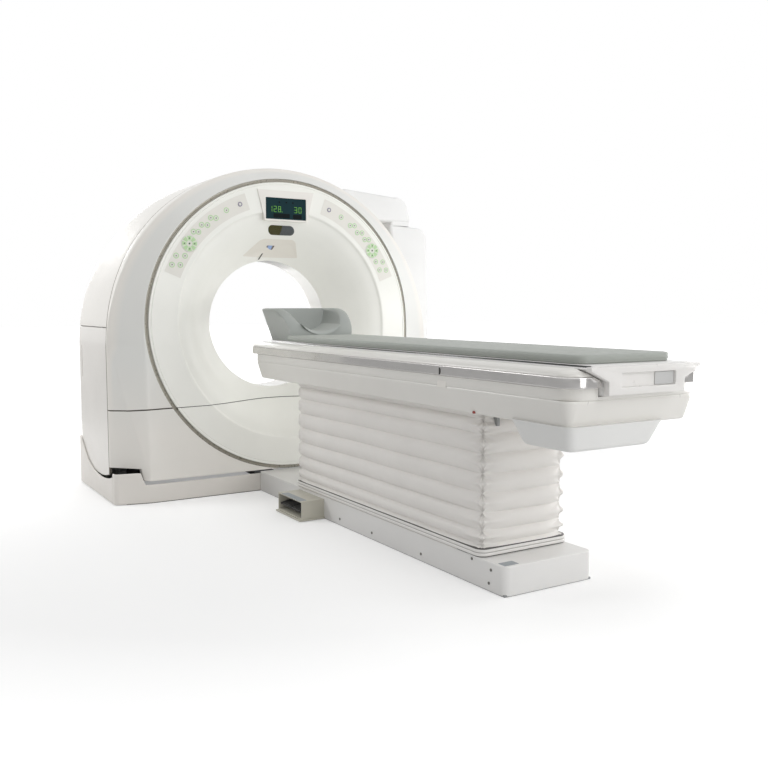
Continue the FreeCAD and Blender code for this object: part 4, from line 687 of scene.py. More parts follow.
def arch_radius(angle, radius, drop):
    """Distance from the bore's centre to an arch whose centre lies lower by a drop."""
    return -drop * np.sin(angle) + np.sqrt(radius ** 2 - (drop * np.cos(angle)) ** 2)


def crease_width(height):
    """Half-width of the crease at a height, a table smoothed over 80 mm."""
    radius, centre = CREASE_ARCH[0], ISO - CREASE_ARCH[1]
    heights = (117, 219, 339, 474, 554, 686, 760, 835)
    widths = (837, 859, 893, 926, 950, 975, 977, 975)
    height = np.asarray(height, dtype=float)
    mean = np.mean([np.interp(height + step, heights, widths)
                    for step in (-40, -20, 0, 20, 40)], axis=0)
    round_top = np.sqrt(np.maximum(radius ** 2 - (height - centre) ** 2, 0))
    return np.where(height > centre, round_top, mean)


def crease_depth(height):
    """The crease comes forward evenly below the centre of its arch."""
    return 52 - 141 * np.clip(835 - np.asarray(height, dtype=float), 0, None) / 718


def seam_depth(height):
    """The seam between front and side covers slants back above the bore's centre."""
    return 80 + 120 * np.clip((np.asarray(height, dtype=float) - 942) / 891, 0, 1)


def outer_width(height):
    """Half-width of the gantry: straight sides under an arch of 1010 mm."""
    radius, drop = OUTER_ARCH
    rise = np.clip(np.asarray(height, dtype=float) - (ISO - drop), 0, None)
    return np.sqrt(np.maximum(radius ** 2 - rise ** 2, 0))


def level_corners(levels, side):
    """Corner lines of the front cover's section at heights below the bore's centre.

    Near the split the heights bend with its arch, fading over 150 mm.
    """
    near = np.clip(1 - np.abs(levels - SPLIT_EDGE) / 150, 0, 1)

    def corner(width, depth):
        height = levels + (split_height(width(levels)) - SPLIT_EDGE) * near
        return surface(side * width(height), depth(height), height)

    def ring(height):
        return np.sqrt(np.maximum(RING_OUT ** 2 - (ISO - height) ** 2, 0))

    def brow(height):
        return 830 + 7 * (ISO - height) / 820

    return [corner(ring, lambda z: lean(z) + RIM_DEPTH), corner(ring, lean),
            corner(brow, lean), corner(crease_width, crease_depth),
            corner(outer_width, lambda z: OUTER_DEPTH), corner(outer_width, seam_depth)]


def ray_corners(angles):
    """The same corner lines along rays from the bore's centre over the arch."""
    cosine, sine = np.cos(angles), np.sin(angles)

    def corner(radius, depth):
        height = ISO + radius * sine
        return surface(radius * cosine, depth(height), height)

    outer = arch_radius(angles, *OUTER_ARCH)
    return [corner(RING_OUT, lambda z: lean(z) + RIM_DEPTH), corner(RING_OUT, lean),
            corner(RING_OUT + 4, lean), corner(arch_radius(angles, *CREASE_ARCH), crease_depth),
            corner(outer, lambda z: OUTER_DEPTH), corner(outer, seam_depth)]


def front_cover():
    """Upper front cover: a section carried up both legs and round the arch."""
    rise = np.concatenate([[495.2, 500], np.linspace(510, 925, 34)])
    over = ray_corners(np.radians(np.linspace(0, 180, 181)))
    corners = [np.concatenate(parts) for parts in
               zip(level_corners(rise, 1), over, level_corners(rise[::-1], -1))]
    mesh_piece("front_cover_skin", "gantry", "front_paint",
               *moulded(rounded_path(corners, SECTION_CUTS), WALL, 3, INSIDE), sharp=40,
               node="front_cover")


def lower_front_cover():
    """Lower front cover: full section down to the notch, cut back beside the base's blocks."""
    shells = []
    drop = np.concatenate([[488.8, 484], np.linspace(474, 184, 26), [181.5],
                           np.linspace(176, 117, 9)])
    cut_back = (drop < NOTCH)[:, None]
    edge = 863 + (drop - 104) * 14 / 79
    for side in (1, -1):
        corners = level_corners(drop, side)
        crease, outer, seam = corners[3:]
        share = (edge - np.abs(crease[:, 0])) / (np.abs(outer[:, 0]) - np.abs(crease[:, 0]))
        toe = crease + (outer - crease) * share[:, None]
        corners[4] = np.where(cut_back, toe, outer)
        corners[5] = np.where(cut_back, toe + (0, 45, 0), seam)
        bend = np.where(cut_back, 4.0, SECTION_CUTS[3])
        grid = rounded_path(corners, SECTION_CUTS[:3] + (bend,))
        shells.append(moulded(grid, WALL, 3, INSIDE))
    mesh_piece("lower_front_skin", "gantry", "front_paint", *joined(*shells), sharp=40,
               node="lower_front_cover")


def dish_line():
    """The dish's front as (radius, depth), its bends rounded."""
    return bent_line(DISH_CORNERS, DISH_CUTS, 7, 5)


def dish_depth(x, z):
    """Depth of the dish's front at a place seen from the front."""
    line = dish_line()
    line = line[line[:, 0] < 800][::-1]
    return np.interp(np.hypot(x, np.asarray(z) - ISO), line[:, 0], line[:, 1]) + lean(z)


def seal_gap_shade():
    """Dark strips behind the split of the front and behind the seams of the side covers; their
    dark is painted shade for those gaps.
    """
    shells = []
    for side in (1, -1):
        grid = rounded_path(level_corners(np.array([482.0, 492, 502]), side), SECTION_CUTS)
        shells.append(moulded(sunk(grid, 5.5, INSIDE), 3, 0.8, INSIDE))
    behind = (0, 5000, SPLIT_MIDDLE)
    across = np.linspace(-676, 676, 120)[:, None]
    height = split_height(across) + np.array([-10.0, 0, 10])
    grid = surface(across, dish_depth(across, height), height)
    shells.append(moulded(sunk(grid, 6, behind), 3, 0.8, behind))
    rise = np.linspace(150, 925, 24)
    turn = np.radians(np.linspace(0, 180, 121))
    radius = arch_radius(turn, OUTER_ARCH[0] - 7, OUTER_ARCH[1])
    x = np.concatenate([outer_width(rise) - 7, radius * np.cos(turn),
                        7 - outer_width(rise[::-1])])
    z = np.concatenate([rise, ISO + radius * np.sin(turn), rise[::-1]])
    grid = surface(x[:, None], (seam_depth(z) + 1)[:, None] + (-12.0, 0, 12), z[:, None])
    shells.append(moulded(grid, 3, 0.8, INSIDE))
    mesh_piece("cover_seam_shade_strips", "gantry", "gap_shade_seal", *joined(*shells))


def split_in_two(source, gap):
    """Both halves of a closed mesh above and below the arched split, each closed again."""
    halves = []
    for sign in (1, -1):
        mesh = bmesh.new()
        mesh.from_mesh(source)
        for vertex in mesh.verts:
            vertex.co.z -= (split_height(vertex.co.x * 1000) - SPLIT_MIDDLE) / 1000
        height = (SPLIT_MIDDLE + sign * gap / 2) / 1000
        geometry = mesh.verts[:] + mesh.edges[:] + mesh.faces[:]
        bmesh.ops.bisect_plane(mesh, geom=geometry, dist=1e-6, plane_co=(0, 0, height),
                               plane_no=(0, 0, sign), clear_inner=True)
        edges = [edge for edge in mesh.edges if edge.is_boundary]
        bmesh.ops.triangle_fill(mesh, edges=edges, use_beauty=True)
        bmesh.ops.recalc_face_normals(mesh, faces=mesh.faces)
        for vertex in mesh.verts:
            vertex.co.z += (split_height(vertex.co.x * 1000) - SPLIT_MIDDLE) / 1000
        data = bpy.data.meshes.new("half")
        mesh.to_mesh(data)
        mesh.free()
        halves.append(data)
    return halves


def key_place(degrees):
    """A place on the circle of the travelling keys."""
    turn = math.radians(degrees)
    return KEY_CIRCLE * math.cos(turn), ISO + KEY_CIRCLE * math.sin(turn)


STOP_PLACE, PAD_PLACE = key_place(67.3), key_place(37.5)


def dish():
    """The dish: control band, curved cone and throat, split across like the front cover."""
    points, faces = moulded(turned_grid(dish_line()), WALL, 1.2, (0, 1e6, ISO), (True, False))
    whole = loose_object("dish_whole", leaning(points), faces)
    turn = np.radians(np.arange(0, 360, 7.5))
    for side in (1, -1):
        for (x, z), radius in ((STOP_PLACE, 13.5), (PAD_PLACE, 47.1)):
            outline = np.column_stack([side * x + radius * np.cos(turn),
                                       z + radius * np.sin(turn)])
            carve(whole, loose_object("hole", *prism_shell(outline, 1, -30, 30)))
    for half, data in zip(("upper", "lower"), split_in_two(whole.data, 4)):
        data.name = "dish_" + half + "_skin"
        dress(placed(data.name, data), "gantry", "dish_paint", 30, "front_dish_" + half)
    discard(whole)


def ring_trim():
    """Metal ring sunk between dish and cover: a shallow step with a rounded inner bead."""
    front = bent_line([(825.4, 13), (825.4, 7), (818, 6), (814, 8.5), (806.6, 8.5), (806.6, 13)],
                      (1, 2, 2, 1), 4, 2)
    points, faces = closed_turn(np.concatenate([front, [(806.6, 14), (825.4, 14)]]), 300)
    mesh_piece("groove_ring", "gantry", "ring_metal", leaning(points), faces, sharp=50,
               node="ring_trim")


def bore():
    """Scan window and the bell-shaped tunnel behind it, turned shells of 3.5 and 4 mm.

    The window's front edge leans with the dish, fading to nothing at its rear edge.
    """
    line = np.column_stack([np.full(14, 375.2), np.linspace(251, 409.5, 14)])
    points, faces = turned_shell(line, 3.5, 160)
    points[:, 1] += lean(points[:, 2]) * (410 - points[:, 1]) / 160
    mesh_piece("scan_window_film", "gantry", "window_film", points, faces, node="scan_window")
    line = bent_line([(375.4, 411), (376, 428), (560, 699.5)], (40,), 9, 14)
    mesh_piece("rear_tunnel_bell", "gantry", "bore_white", *turned_shell(line, 4, 160),
               node="rear_tunnel")


# ------------------------------------------------------------------ what sits on the dish
def flat(depth):
    """A level surface at one depth, for raised_patch()."""
    return lambda x, z: np.full(np.shape(x), depth)


def raised_patch(centre, outline, proud, edge, crown=0.0, depth=dish_depth):
    """A thin closed patch that follows a surface: rings of an outline shrunk to its centre.

    Its height is proud, less a quarter-round near the rim, plus a crown in the middle.
    """
    outline = np.asarray(outline, dtype=float)
    far = np.linalg.norm(outline, axis=1)
    reach, count = far.min(), max(5, math.ceil(far.max() / 10))
    turn = np.radians(np.linspace(0, 90, 5))
    inner = np.linspace(0, 1 - edge / reach, count + 1)[:-1]
    shares = np.concatenate([inner, 1 - edge / reach * (1 - np.sin(turn)), [1.0]])
    heights = np.concatenate([np.full(count, proud), proud - edge * (1 - np.cos(turn)),
                              [-PATCH_ROOT]])
    heights[:count] += crown * (1 - inner ** 2)
    rings = centre + outline[None] * shares[:, None, None]
    x, z = rings[..., 0], rings[..., 1]
    top = surface(x, depth(x, z) - heights[:, None], z)
    x, z = np.full((2, 1, len(outline)), np.reshape(centre, (2, 1, 1)), dtype=float)
    rows = np.concatenate([top, surface(x, depth(x, z) + PATCH_ROOT, z)])
    return rows.reshape(-1, 3), [grid_faces(len(rows), len(outline), False, True)]


def keys():
    """Round membrane keys: a pale dome, a green ring round it and a small dark arrow."""
    domes, rings, arrows = [], [], []
    ring = [(15.5, -8.6), (15.3, -9.4), (14.5, -9.9), (12.2, -9.9), (11.4, -9.4), (11.2, -8.6)]
    for side in (-1, 1):
        for number, (across, up) in enumerate(ROUND_KEYS):
            centre = (side * across, up)
            domes.append(raised_patch(centre, circle_outline(11, 28), 0.9, 0.6, 1.0,
                                      flat(BAND_DEPTH)))
            rings.append(closed_turn(ring, 30, centre))
            arrow = swung([(-4.2, -3), (4.2, -3), (0, 4.6)], number % 4, centre)
            arrows.append(prism_shell(arrow, 1, -11.2, -10.0))
    for name, finish, shells in (("key_domes", "key_pale", domes),
                                 ("key_rings", "key_green", rings),
                                 ("key_arrows", "key_ink", arrows)):
        mesh_piece(name, "gantry", finish, *joined(*shells))
    keep_node("membrane", "keypads")


def travelling_keys():
    """Stop buttons and direction pads, which travel in the control band."""
    for tag, side in (("left", -1), ("right", 1)):
        centre = (side * STOP_PLACE[0], STOP_PLACE[1])
        cap = [(0, 4), (0, -10.6), (7, -10.8), (9.3, -12), (11.8, -12), (12.9, -11), (12.9, 4)]
        mesh_piece(tag + "_stop_cap", tag + "_stop", "stop_violet",
                   *closed_turn(cap, 40, centre), sharp=45, node=tag + "_stop_button")
        mesh_piece(tag + "_stop_inlay", tag + "_stop", "key_pale",
                   *raised_patch(centre, circle_outline(6.5, 30), 0.7, 0.4, 0.4, flat(-10.6)))
        centre = (side * PAD_PLACE[0], PAD_PLACE[1])
        cap = [(0, 4), (0, -9.6), (36, -9.8), (44, -10.4), (46.1, -9), (46.4, -7), (46.4, 4)]
        mesh_piece(tag + "_pad_disc", tag + "_pad", "key_pale", *closed_turn(cap, 72, centre),
                   sharp=45, node=tag + "_direction_pad")
        sectors, marks = [], []
        for eighth in range(8):
            angle = np.radians(np.linspace(45 * eighth - 17, 45 * eighth + 17, 7))
            ray = np.column_stack([np.cos(angle), np.sin(angle)])
            outline = np.concatenate([41 * ray, 17 * ray[::-1]])
            sectors.append(prism_shell(outline + centre, 1, -10.9, -9.2))
        for quarter in range(4):
            arrow = swung([(-5, 26), (5, 26), (0, 34)], quarter, centre)
            marks.append(prism_shell(arrow, 1, -11.3, -10.6))
        marks.append(raised_patch(centre, circle_outline(5, 24), 0.8, 0.5, 0, flat(-9.6)))
        mesh_piece(tag + "_pad_sectors", tag + "_pad", "key_green", *joined(*sectors))
        mesh_piece(tag + "_pad_marks", tag + "_pad", "key_ink", *joined(*marks))


def digit(character, left, low, width, height, front):
    """One seven-segment digit made of bars, as a list of prisms."""
    bar, middle = 2.6, low + height / 2
    right, top = left + width, low + height
    spans = {"a": (left, top - bar, right, top), "d": (left, low, right, low + bar),
             "g": (left, middle - bar / 2, right, middle + bar / 2),
             "b": (right - bar, middle + 1, right, top - 1),
             "c": (right - bar, low + 1, right, middle - 1),
             "f": (left, middle + 1, left + bar, top - 1),
             "e": (left, low + 1, left + bar, middle - 1)}
    return [prism_shell(box(*spans[name]), 1, front, front + 0.8)
            for name in SEGMENTS[character]]


def display():
    """Bezel, screen, and what the screen shows."""
    refined("display_bezel", "display_bezel_boss", "gantry", "bezel_white", 4, 4, 30)
    outline = rounded_outline(box(-126, 1534, 126, 1654), 6) - (0, 1594)
    mesh_piece("display_screen", "gantry", "screen_glass",
               *raised_patch((0, 1594), outline, 2.3, 1, 0, flat(-10.2)),
               node="display_panel")
    front = -13.2
    slabs = []
    for text, left in (("128", -104), ("30", 52)):
        for number, character in enumerate(text):
            slabs += digit(character, left + 27 * number, 1574, 17, 33, front)
    slabs.append(prism_shell(box(-28, 1574, -24, 1578), 1, front, front + 0.8))
    mesh_piece("display_digits", "gantry", "digit_green", *joined(*slabs))
    blocks = [prism_shell(box(*place), 1, front + 0.2, front + 0.8)
              for place in ((-79, 1542, 22, 1566), (43, 1540, 97, 1564))]
    blocks += [raised_patch((x, 1630), circle_outline(5, 20), 0.6, 0.3, 0, flat(-12.4))
               for x in (-42, 2, 43)]
    mesh_piece("display_fields", "gantry", "screen_dark", *joined(*blocks))


def fittings():
    """Lamp window, front plate with its indicator, slot and sensor, all following the dish."""
    pill = rounded_outline(box(-82, -26, 82, 26), 26, 12, 6)
    pill[:, 0] -= 0.39 * pill[:, 1]
    plate = rounded_outline([(-105, 50), (-195, -50), (165, -50), (108, 50)],
                            (26, 8, 8, 26), 9)
    window = rounded_outline([(-28, -11), (24, -11), (28, 11), (-20, 11)], 3, 5)
    for name, finish, node, centre, outline, relief in (
            ("lamp_window_glass", "lamp_glass", "lamp_window", (0, 1478), pill, (3, 1.5, 0.6)),
            ("front_plate_panel", "plate_cream", "front_plate", (0, 1380), plate, (1.6, 0.8)),
            ("indicator_window", "indicator_glass", "indicator", (-30, 1384), window,
             (4, 0.7))):
        mesh_piece(name, "gantry", finish, *raised_patch(centre, outline, *relief), node=node)
    # painted shade: the slot and the sensor's hole are proud dark patches, their colour standing
    # for the shade inside them
    slot = rounded_outline([(-9, -22), (-1, -22), (9, 22), (1, 22)], 3, 4, 5)
    mesh_piece("dish_opening_shade", "gantry", "dark_gap",
               *joined(raised_patch((-62, 1338), slot, 2.6, 0.3),
                       raised_patch((108, 1362), circle_outline(6, 20), 2.6, 0.4)))


# ------------------------------------------------------------------ sides, back and base
def side_covers():
    """Side skins: shoulders over the arch and lower walls ending in an arc under them."""
    share = np.linspace(0, 1, 9)
    for tag, side in (("left", -1), ("right", 1)):
        angles = np.radians(np.linspace(1, 89.94, 70))
        radius = arch_radius(angles, *OUTER_ARCH)
        x = np.concatenate([[outer_width(928.5)], radius * np.cos(angles)])[:, None]
        z = np.concatenate([[928.5], ISO + radius * np.sin(angles)])[:, None]
        near = seam_depth(z) + 3
        grid = surface(side * x, near + (700 - near) * share, z)
        mesh_piece(tag + "_shoulder_skin", "gantry", "cover_white",
                   *moulded(grid, WALL, 4, INSIDE), sharp=40, node=tag + "_upper_side_cover")
        y = np.linspace(83, 700, 40)
        low = np.maximum(ISO - np.sqrt(822.0 ** 2 - (y - 300) ** 2), 117)
        z = low + (925.5 - low) * share[:, None]
        piece = mesh_piece(tag + "_wall_skin", "gantry", "side_paint",
                           *moulded(surface(side * outer_width(z), y, z), WALL, 4, INSIDE),
                           sharp=40)
        if side < 0:
            slot = rounded_prism(box(633, 634, 645, 816), 3, 4, 0, -1012, -1006)
            carve(piece, loose_object("slot", *slot))
        dress(piece, "gantry", "side_paint", 40, tag + "_lower_side_cover")


def base_covers():
    """Front wall of the base, turned back at its corners, and the scooped side walls."""
    corner = [(1021.5, -21), (1021.5, -46), (1003, -61), (834, -95)]
    path = bent_line([(-x, y) for x, y in corner] + corner[::-1], (12, 12, 20, 20, 12, 12),
                     9, 12)
    x, y = path[:, 0], path[:, 1]
    step = np.clip((np.abs(x) - 865) / 26, 0, 1)
    top = 100 + 65 * (step * step * (3 - 2 * step))
    share = np.linspace(0, 1, 7)[:, None]
    mesh_piece("base_front_wall", "base", "base_white",
               *moulded(surface(x, y, 3 + (top - 3) * share), 6, 5, IN_BASE), sharp=45,
               node="base_front_cover")
    y = np.linspace(-19, 705, 60)
    heights = np.interp(y, (-20, 12, 107, 162, 250, 385, 523, 615, 683, 705),
                        (150, 136, 118, 113, 109, 120, 156, 214, 270, 290))
    smooth = np.convolve(np.pad(heights, 3, mode="edge"), np.ones(7) / 7, "valid")
    shells = [moulded(surface(side * 1021.5, y, 3 + (smooth - 3) * share), 9, 5, IN_BASE)
              for side in (-1, 1)]
    mesh_piece("base_side_walls", "base", "base_white", *joined(*shells), sharp=45,
               node="base_side_covers")
    refined("base_rear_cover", "base_rear_wall", "base", "base_white", 2.5)


def back():
    """Back plate and the two housings beside it, with the neck between them."""
    refined("rear_cover", "back_plate", "gantry", "cover_white", 2)
    mesh_piece("rear_unit_neck", "gantry", "unit_white",
               *rounded_prism(box(905, 306, 1054, 694), 18, 6, 2, 1570, 1596))
    for half in ("upper", "lower"):
        refined("right_rear_unit_" + half, "rear_unit_" + half + "_shell", "gantry",
                "unit_white", 22, 6)


# ------------------------------------------------------------------ table
def softened(levels, width):
    """(height, inset) levels with their bends evened out by a running mean."""
    levels = np.array(levels, dtype=float)
    length = np.concatenate([[0], np.cumsum(np.linalg.norm(np.diff(levels, axis=0), axis=1))])
    spots = np.linspace(0, length[-1], int(length[-1] / 3) + 2)
    fine = np.column_stack([np.interp(spots, length, levels[:, 0]),
                            np.interp(spots, length, levels[:, 1])])
    kernel = np.ones(2 * width + 1) / (2 * width + 1)
    eased = np.column_stack([np.convolve(np.pad(column, width, mode="edge"), kernel, "valid")
                             for column in fine.T])
    eased[0], eased[-1] = fine[0], fine[-1]
    return eased


def table_body():
    """Moulded body of the table: lower tub, skirt, and rails with a curved shoulder."""
    tub = softened([(655.3, 34), (656.5, 29), (660, 24.5), (666, 22), (700, 12), (736, 1.5),
                    (744, 1), (746, 3)], 1)
    skirt = [(746.2, 12), (746.2, 3), (747, 1), (748.5, 0), (784, 0), (785.9, 1.5)]
    turn = np.radians(np.linspace(0, 82, 14))
    rails = [(786.1, 7), (786.4, 6.4), (821.6, 6.4), (822, 5.5), (822.3, 1.2)]
    rails += [(823.5 + 26 * math.sin(a), 50.5 * (1 - math.cos(a)) + 0.2) for a in turn[:-1]]
    rails += [(849.4, 49.5)]
    for name, levels, *plan in (("table_tub", tub, 298, -240, -2641, 30, 46, 16),
                                ("table_skirt", skirt, 298, -238, -2645, 32, 85, 16),
                                ("table_rails", rails, 304, -177, -2660, 50, 70, 16)):
        piece = mesh_piece(name, None, "table_white", *stacked(level_loops(levels, *plan)),
                           sharp=38)
        carve(piece, loose_object("channel", *prism_shell(CHANNEL, 1, -2750, -100)))
        dress(piece, "table", "table_white", 38, "lifting_frame")
    ears = [prism_shell(box(-2115, 600, -2055, 660), 0, low, low + 12) for low in (-148.0, 136)]
    mesh_piece("table_ears", "table", "frame_steel", *joined(*ears))


def bright_strips():
    """Bright strip along each side, wrapped round the corners to the channel's mouth."""
    shells = []
    arc = np.radians(np.linspace(0, 90, 16))
    front = np.column_stack([255 + 50 * np.sin(arc), -220 + 50 * np.cos(arc)])
    rear = np.column_stack([235 + 70 * np.cos(arc), -2595 - 70 * np.sin(arc)])
    run = np.linspace(front[-1], rear[0], 60)[1:-1]
    path = np.concatenate([[(0, -170)], front, run, rear, [(0, -2665)]])
    for side in (-1, 1):
        rows = []
        for height in np.linspace(786.2, 821.7, 7):
            line = path.copy()
            line[[0, -1], 0] = max(178, 175 + (height - 805) * 78 / 37) + 2
            rows.append(surface(side * line[:, 0], line[:, 1], height))
        shells.append(moulded(np.stack(rows, 1), 5.5, 1.6, (0, -1400, 800)))
    mesh_piece("bright_bands", "table", "strip_gloss", *joined(*shells), sharp=50,
               node="bright_strips")


def table_details():
    """Half-moon button, a blank label under it and a red lamp, on the table's left side."""
    moon = circle_outline(13, 30)
    moon[:, 0] = np.minimum(moon[:, 0], 4)
    for name, finish, outline, low, high in (
            ("button_moon", "dark_gap", moon * (0.6, 1) + (-1967, 801), -306, -303),
            ("blank_label", "bezel_white", box(-2000, 741, -1944, 765), -299, -297),
            ("red_lamp", "lamp_red", circle_outline(5, 18) + (-2143, 663), -281, -272)):
        mesh_piece(name, "table", finish, *prism_shell(outline, 0, low, high))


def tabletop():
    """Board with its keel, and the end grip with a recess and a darker insert."""
    refined("tabletop", "tabletop_board", "couch", "board_white", 1, 2)
    half_cap = [(173.5, 763), (173.5, 807), (250.5, 841), (250.5, 854)]
    outline = half_cap + [(-x, z) for x, z in half_cap[::-1]]
    piece = mesh_piece("end_grip_cap", "couch", "grip_white",
                       *prism_shell(outline, 1, -2690, -2665))
    mouth = rounded_prism(box(-120, 787, 130, 832), 5, 4, 1, -2700, -2677)
    carve(piece, loose_object("mouth", *mouth))
    applied(piece, "BEVEL", width=0.0025, segments=3, limit_method="ANGLE",
            angle_limit=math.radians(50))
    dress(piece, "couch", "grip_white", 40, "end_grip")
    mesh_piece("grip_insert", "couch", "insert_grey",
               *rounded_prism(box(40, 789, 128, 830), 4, 4, 1, -2681, -2676))


def underslung():
    """Drive housing under the rear end: rounded at the bottom, cut away on its right side."""
    turn = np.radians(np.linspace(90, 0, 7))
    levels = [(586 + 14 * (1 - math.sin(a)), 14 * (1 - math.cos(a))) for a in turn]
    rows = []
    for height, inset in levels + [(620, 0), (664, 0)]:
        share = (height - 586) / 70
        front, right = -2408 + 60 * share, 78 + 62 * share
        loop = round_rectangle(200, front, -2640, 30, 34, inset, 10)
        rows.append(surface(loop[:, 0] * ((right + 285) / 400) + (right - 285) / 2,
                            loop[:, 1], height))
    mesh_piece("drive_housing", "table", "housing_white", *stacked(np.array(rows)), sharp=40,
               node="underslung_housing")


# ------------------------------------------------------------------ pads
def mattress():
    """Pad on the board: sides drawn in under a rolled edge, its top crowned by 7.5 mm."""
    levels = [(857.6, 203), (857.6, 12), (857.6, 7), (858.4, 4), (861, 2.2), (864.5, 2.6),
              (866.5, 1.2), (870, 0)] + quarter_round(877, 9, 9.5, 7)
    levels += [(886.5 + 7.5 * math.sin(math.pi / 2 * inset / 210), inset)
               for inset in (14, 22, 34, 50, 70, 95, 120, 150, 180, 203)]
    piece = mesh_piece("mattress_pad", "couch", "pad_vinyl",
                       *stacked(level_loops(levels, 213, -450, -2610, 14, 44, 12)), sharp=60,
                       node="mattress")


def rest_height(y):
    """Height of the headrest's wings along the table: level at the back, an arc to the front."""
    near, far = -445.0, -133.0
    share = np.clip((far - 125 - y) / (far - 125 - near), 0, 1)
    return REST_TOP - (REST_TOP - REST_BASE - 24) * (1 - np.sqrt(1 - share ** 2.0)) ** 0.9


def headrest():
    """Head support: thick curved wings on both sides of a trough, closed by a back wall.

    A section across it runs up the outer flank, over a rounded rim and down the trough's
    arc; towards the back the trough rises in a quarter circle to the rim.
    """
    stations = np.concatenate([np.linspace(-445, -430, 5), np.linspace(-424, -214, 36),
                               np.linspace(-210, -172, 12), [-166, -155, -145, -137, -133]])
    rise = np.linspace(0, 1, 9)
    turn = np.linspace(0, math.pi, 9)[1:-1]
    rows = []
    for y in stations:
        top = float(rest_height(y))
        out_x = 175 + 35 * (top - REST_BASE) / (REST_TOP - REST_BASE)
        outer = np.column_stack([175 + (out_x - 175) * rise,
                                 REST_BASE + (top - 9 - REST_BASE) * rise])
        lowest = TROUGH_AXIS - TROUGH_RADIUS * math.sqrt(
            1 - min(0.96, max(0.0, (y + 214) / 42)) ** 2)
        lowest = min(lowest, top) if y < -172 else top
        drop = TROUGH_AXIS - min(top - 9, REST_TOP)
        rim_x = math.sqrt(max(0.0, TROUGH_RADIUS ** 2 - drop ** 2))
        across = rim_x * np.cos(np.linspace(0, math.pi / 2, 18))
        arc = TROUGH_AXIS - np.sqrt(TROUGH_RADIUS ** 2 - across ** 2)
        inner = np.column_stack([across, np.minimum(
            np.maximum(arc, min(lowest, top - 0.5)), top - 0.5)])
        middle, reach = (out_x + rim_x) / 2, (out_x - rim_x) / 2
        rim = np.column_stack([middle + reach * np.cos(turn), top - 9 + 9 * np.sin(turn)])
        right = np.concatenate([[(0, REST_BASE)], [(90, REST_BASE)], outer, rim, inner])
        loop = np.concatenate([right, right[1:-1][::-1] * (-1, 1)])
        back_share = np.clip((loop[:, 1] - REST_BASE) / (REST_TOP - REST_BASE), 0, 1)
        shift = -57 * (1 - back_share) * np.clip((y + 258) / 125, 0, 1)
        rows.append(surface(loop[:, 0], y + shift, loop[:, 1]))
    piece = mesh_piece("headrest_wings", "couch", "rest_vinyl", *stacked(np.array(rows)),
                       sharp=50, node="headrest")


def headrest_cushion():
    """Crescent pad in the trough: its underside follows the trough, its top is flatter."""
    across = np.sin(np.linspace(-math.pi / 2, math.pi / 2, 33)) * 112
    low = TROUGH_AXIS - np.sqrt(149.5 ** 2 - across ** 2)
    top = 1099 - np.sqrt(190.0 ** 2 - across ** 2)
    rows = []
    for share in np.linspace(0, 1, 21):
        end = math.sqrt(max(0, 1 - abs(2 * share - 1) ** 6))
        thick = low + np.maximum(top - low, 3) * (0.25 + 0.75 * end)
        y = -447 + 236 * share
        rows.append(np.concatenate([surface(across, y, thick),
                                    surface(across, y, low)[::-1][1:-1]]))
    piece = mesh_piece("headrest_pad", "couch", "cushion_vinyl", *stacked(np.array(rows)),
                       sharp=60, node="headrest_cushion")


# ------------------------------------------------------------------ bellows and table base
def turn_outwards(piece):
    """Turns an open skirt's faces away from the lift."""
    data = piece.data
    centre = np.array([0, -1.335])
    out = sum((np.array(face.center[:2]) - centre) @ np.array(face.normal[:2]) * face.area
              for face in list(data.polygons)[::97])
    if out < 0:
        data.flip_normals()


def bellows():
    """Pleated skirt as one sheet round the lift.

    Between two valleys it bulges as 19*sin(pi t)^0.55; near the rear corners the bulges
    turn into ridges, and creases run out from the corners like a star.
    """
    loop = filled(round_rectangle(215, -560, -2110, 34, 34, 0, 17), 12, int)
    outward = np.roll(loop, -1, 0) - np.roll(loop, 1, 0)
    outward = unit(np.column_stack([outward[:, 1], -outward[:, 0]]))
    outward *= np.sign(np.sum(outward * (loop - (0, -1335)))) or 1
    heights = np.linspace(143, 657, 215)
    number = np.clip(np.searchsorted(VALLEYS, heights, side="right") - 1, 0, 8)
    low, high = VALLEYS[number], VALLEYS[number + 1]
    share = (heights - low) / (high - low)
    pillow = np.sin(np.pi * share) ** 0.55
    ridge = np.exp(-((share - 0.52) / 0.16) ** 2)
    corner = np.array([(-203, -2098), (203, -2098), (-203, -572), (203, -572)], dtype=float)
    away = np.linalg.norm(loop[:, None] - corner[None], axis=2)
    near = np.exp(-(away[:, :2].min(1) / 55) ** 2)
    along = away.min(1)
    depth = 19 * (pillow[:, None] * (1 - near) + ridge[:, None] * near) - 19
    depth -= 3 * np.exp(-(along / 60) ** 2)
    up = np.minimum(share, 1 - share) * (high - low)
    reach = np.hypot(along[None], up[:, None])
    angle = np.arctan2(up[:, None], along[None])
    star = np.cos(9 * angle + 0.8 * number[:, None]) * np.exp(-reach / 52) * (reach > 0)
    depth += 5.5 * star * np.clip(reach / 12, 0, 1)
    random = np.random.default_rng(7)
    phase = random.uniform(0, 6.28, 6)
    run = np.cumsum(np.linalg.norm(loop - np.roll(loop, 1, 0), axis=1))
    wave = sum(np.sin(run / scale + p) for scale, p in zip((61, 97, 143, 211, 37, 83), phase))
    depth += 0.35 * wave[None] * pillow[:, None]
    grid = np.empty((len(heights), len(loop), 3))
    grid[..., :2] = loop[None] + outward[None] * depth[..., None]
    sag = 2.2 * np.sin(run / 310 + phase[0]) + 1.4 * np.sin(run / 123 + phase[1])
    fade = np.sin(np.pi * (heights - 143) / 514) ** 0.5
    grid[..., 2] = heights[:, None] + sag[None] * fade[:, None]
    piece = mesh_piece("bellows_skirt", None, "bellows_cloth", grid,
                       [grid_faces(len(heights), len(loop), False, True)], sharp=180,
                       closed=False)
    turn_outwards(piece)
    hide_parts("bellows")
    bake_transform(piece)


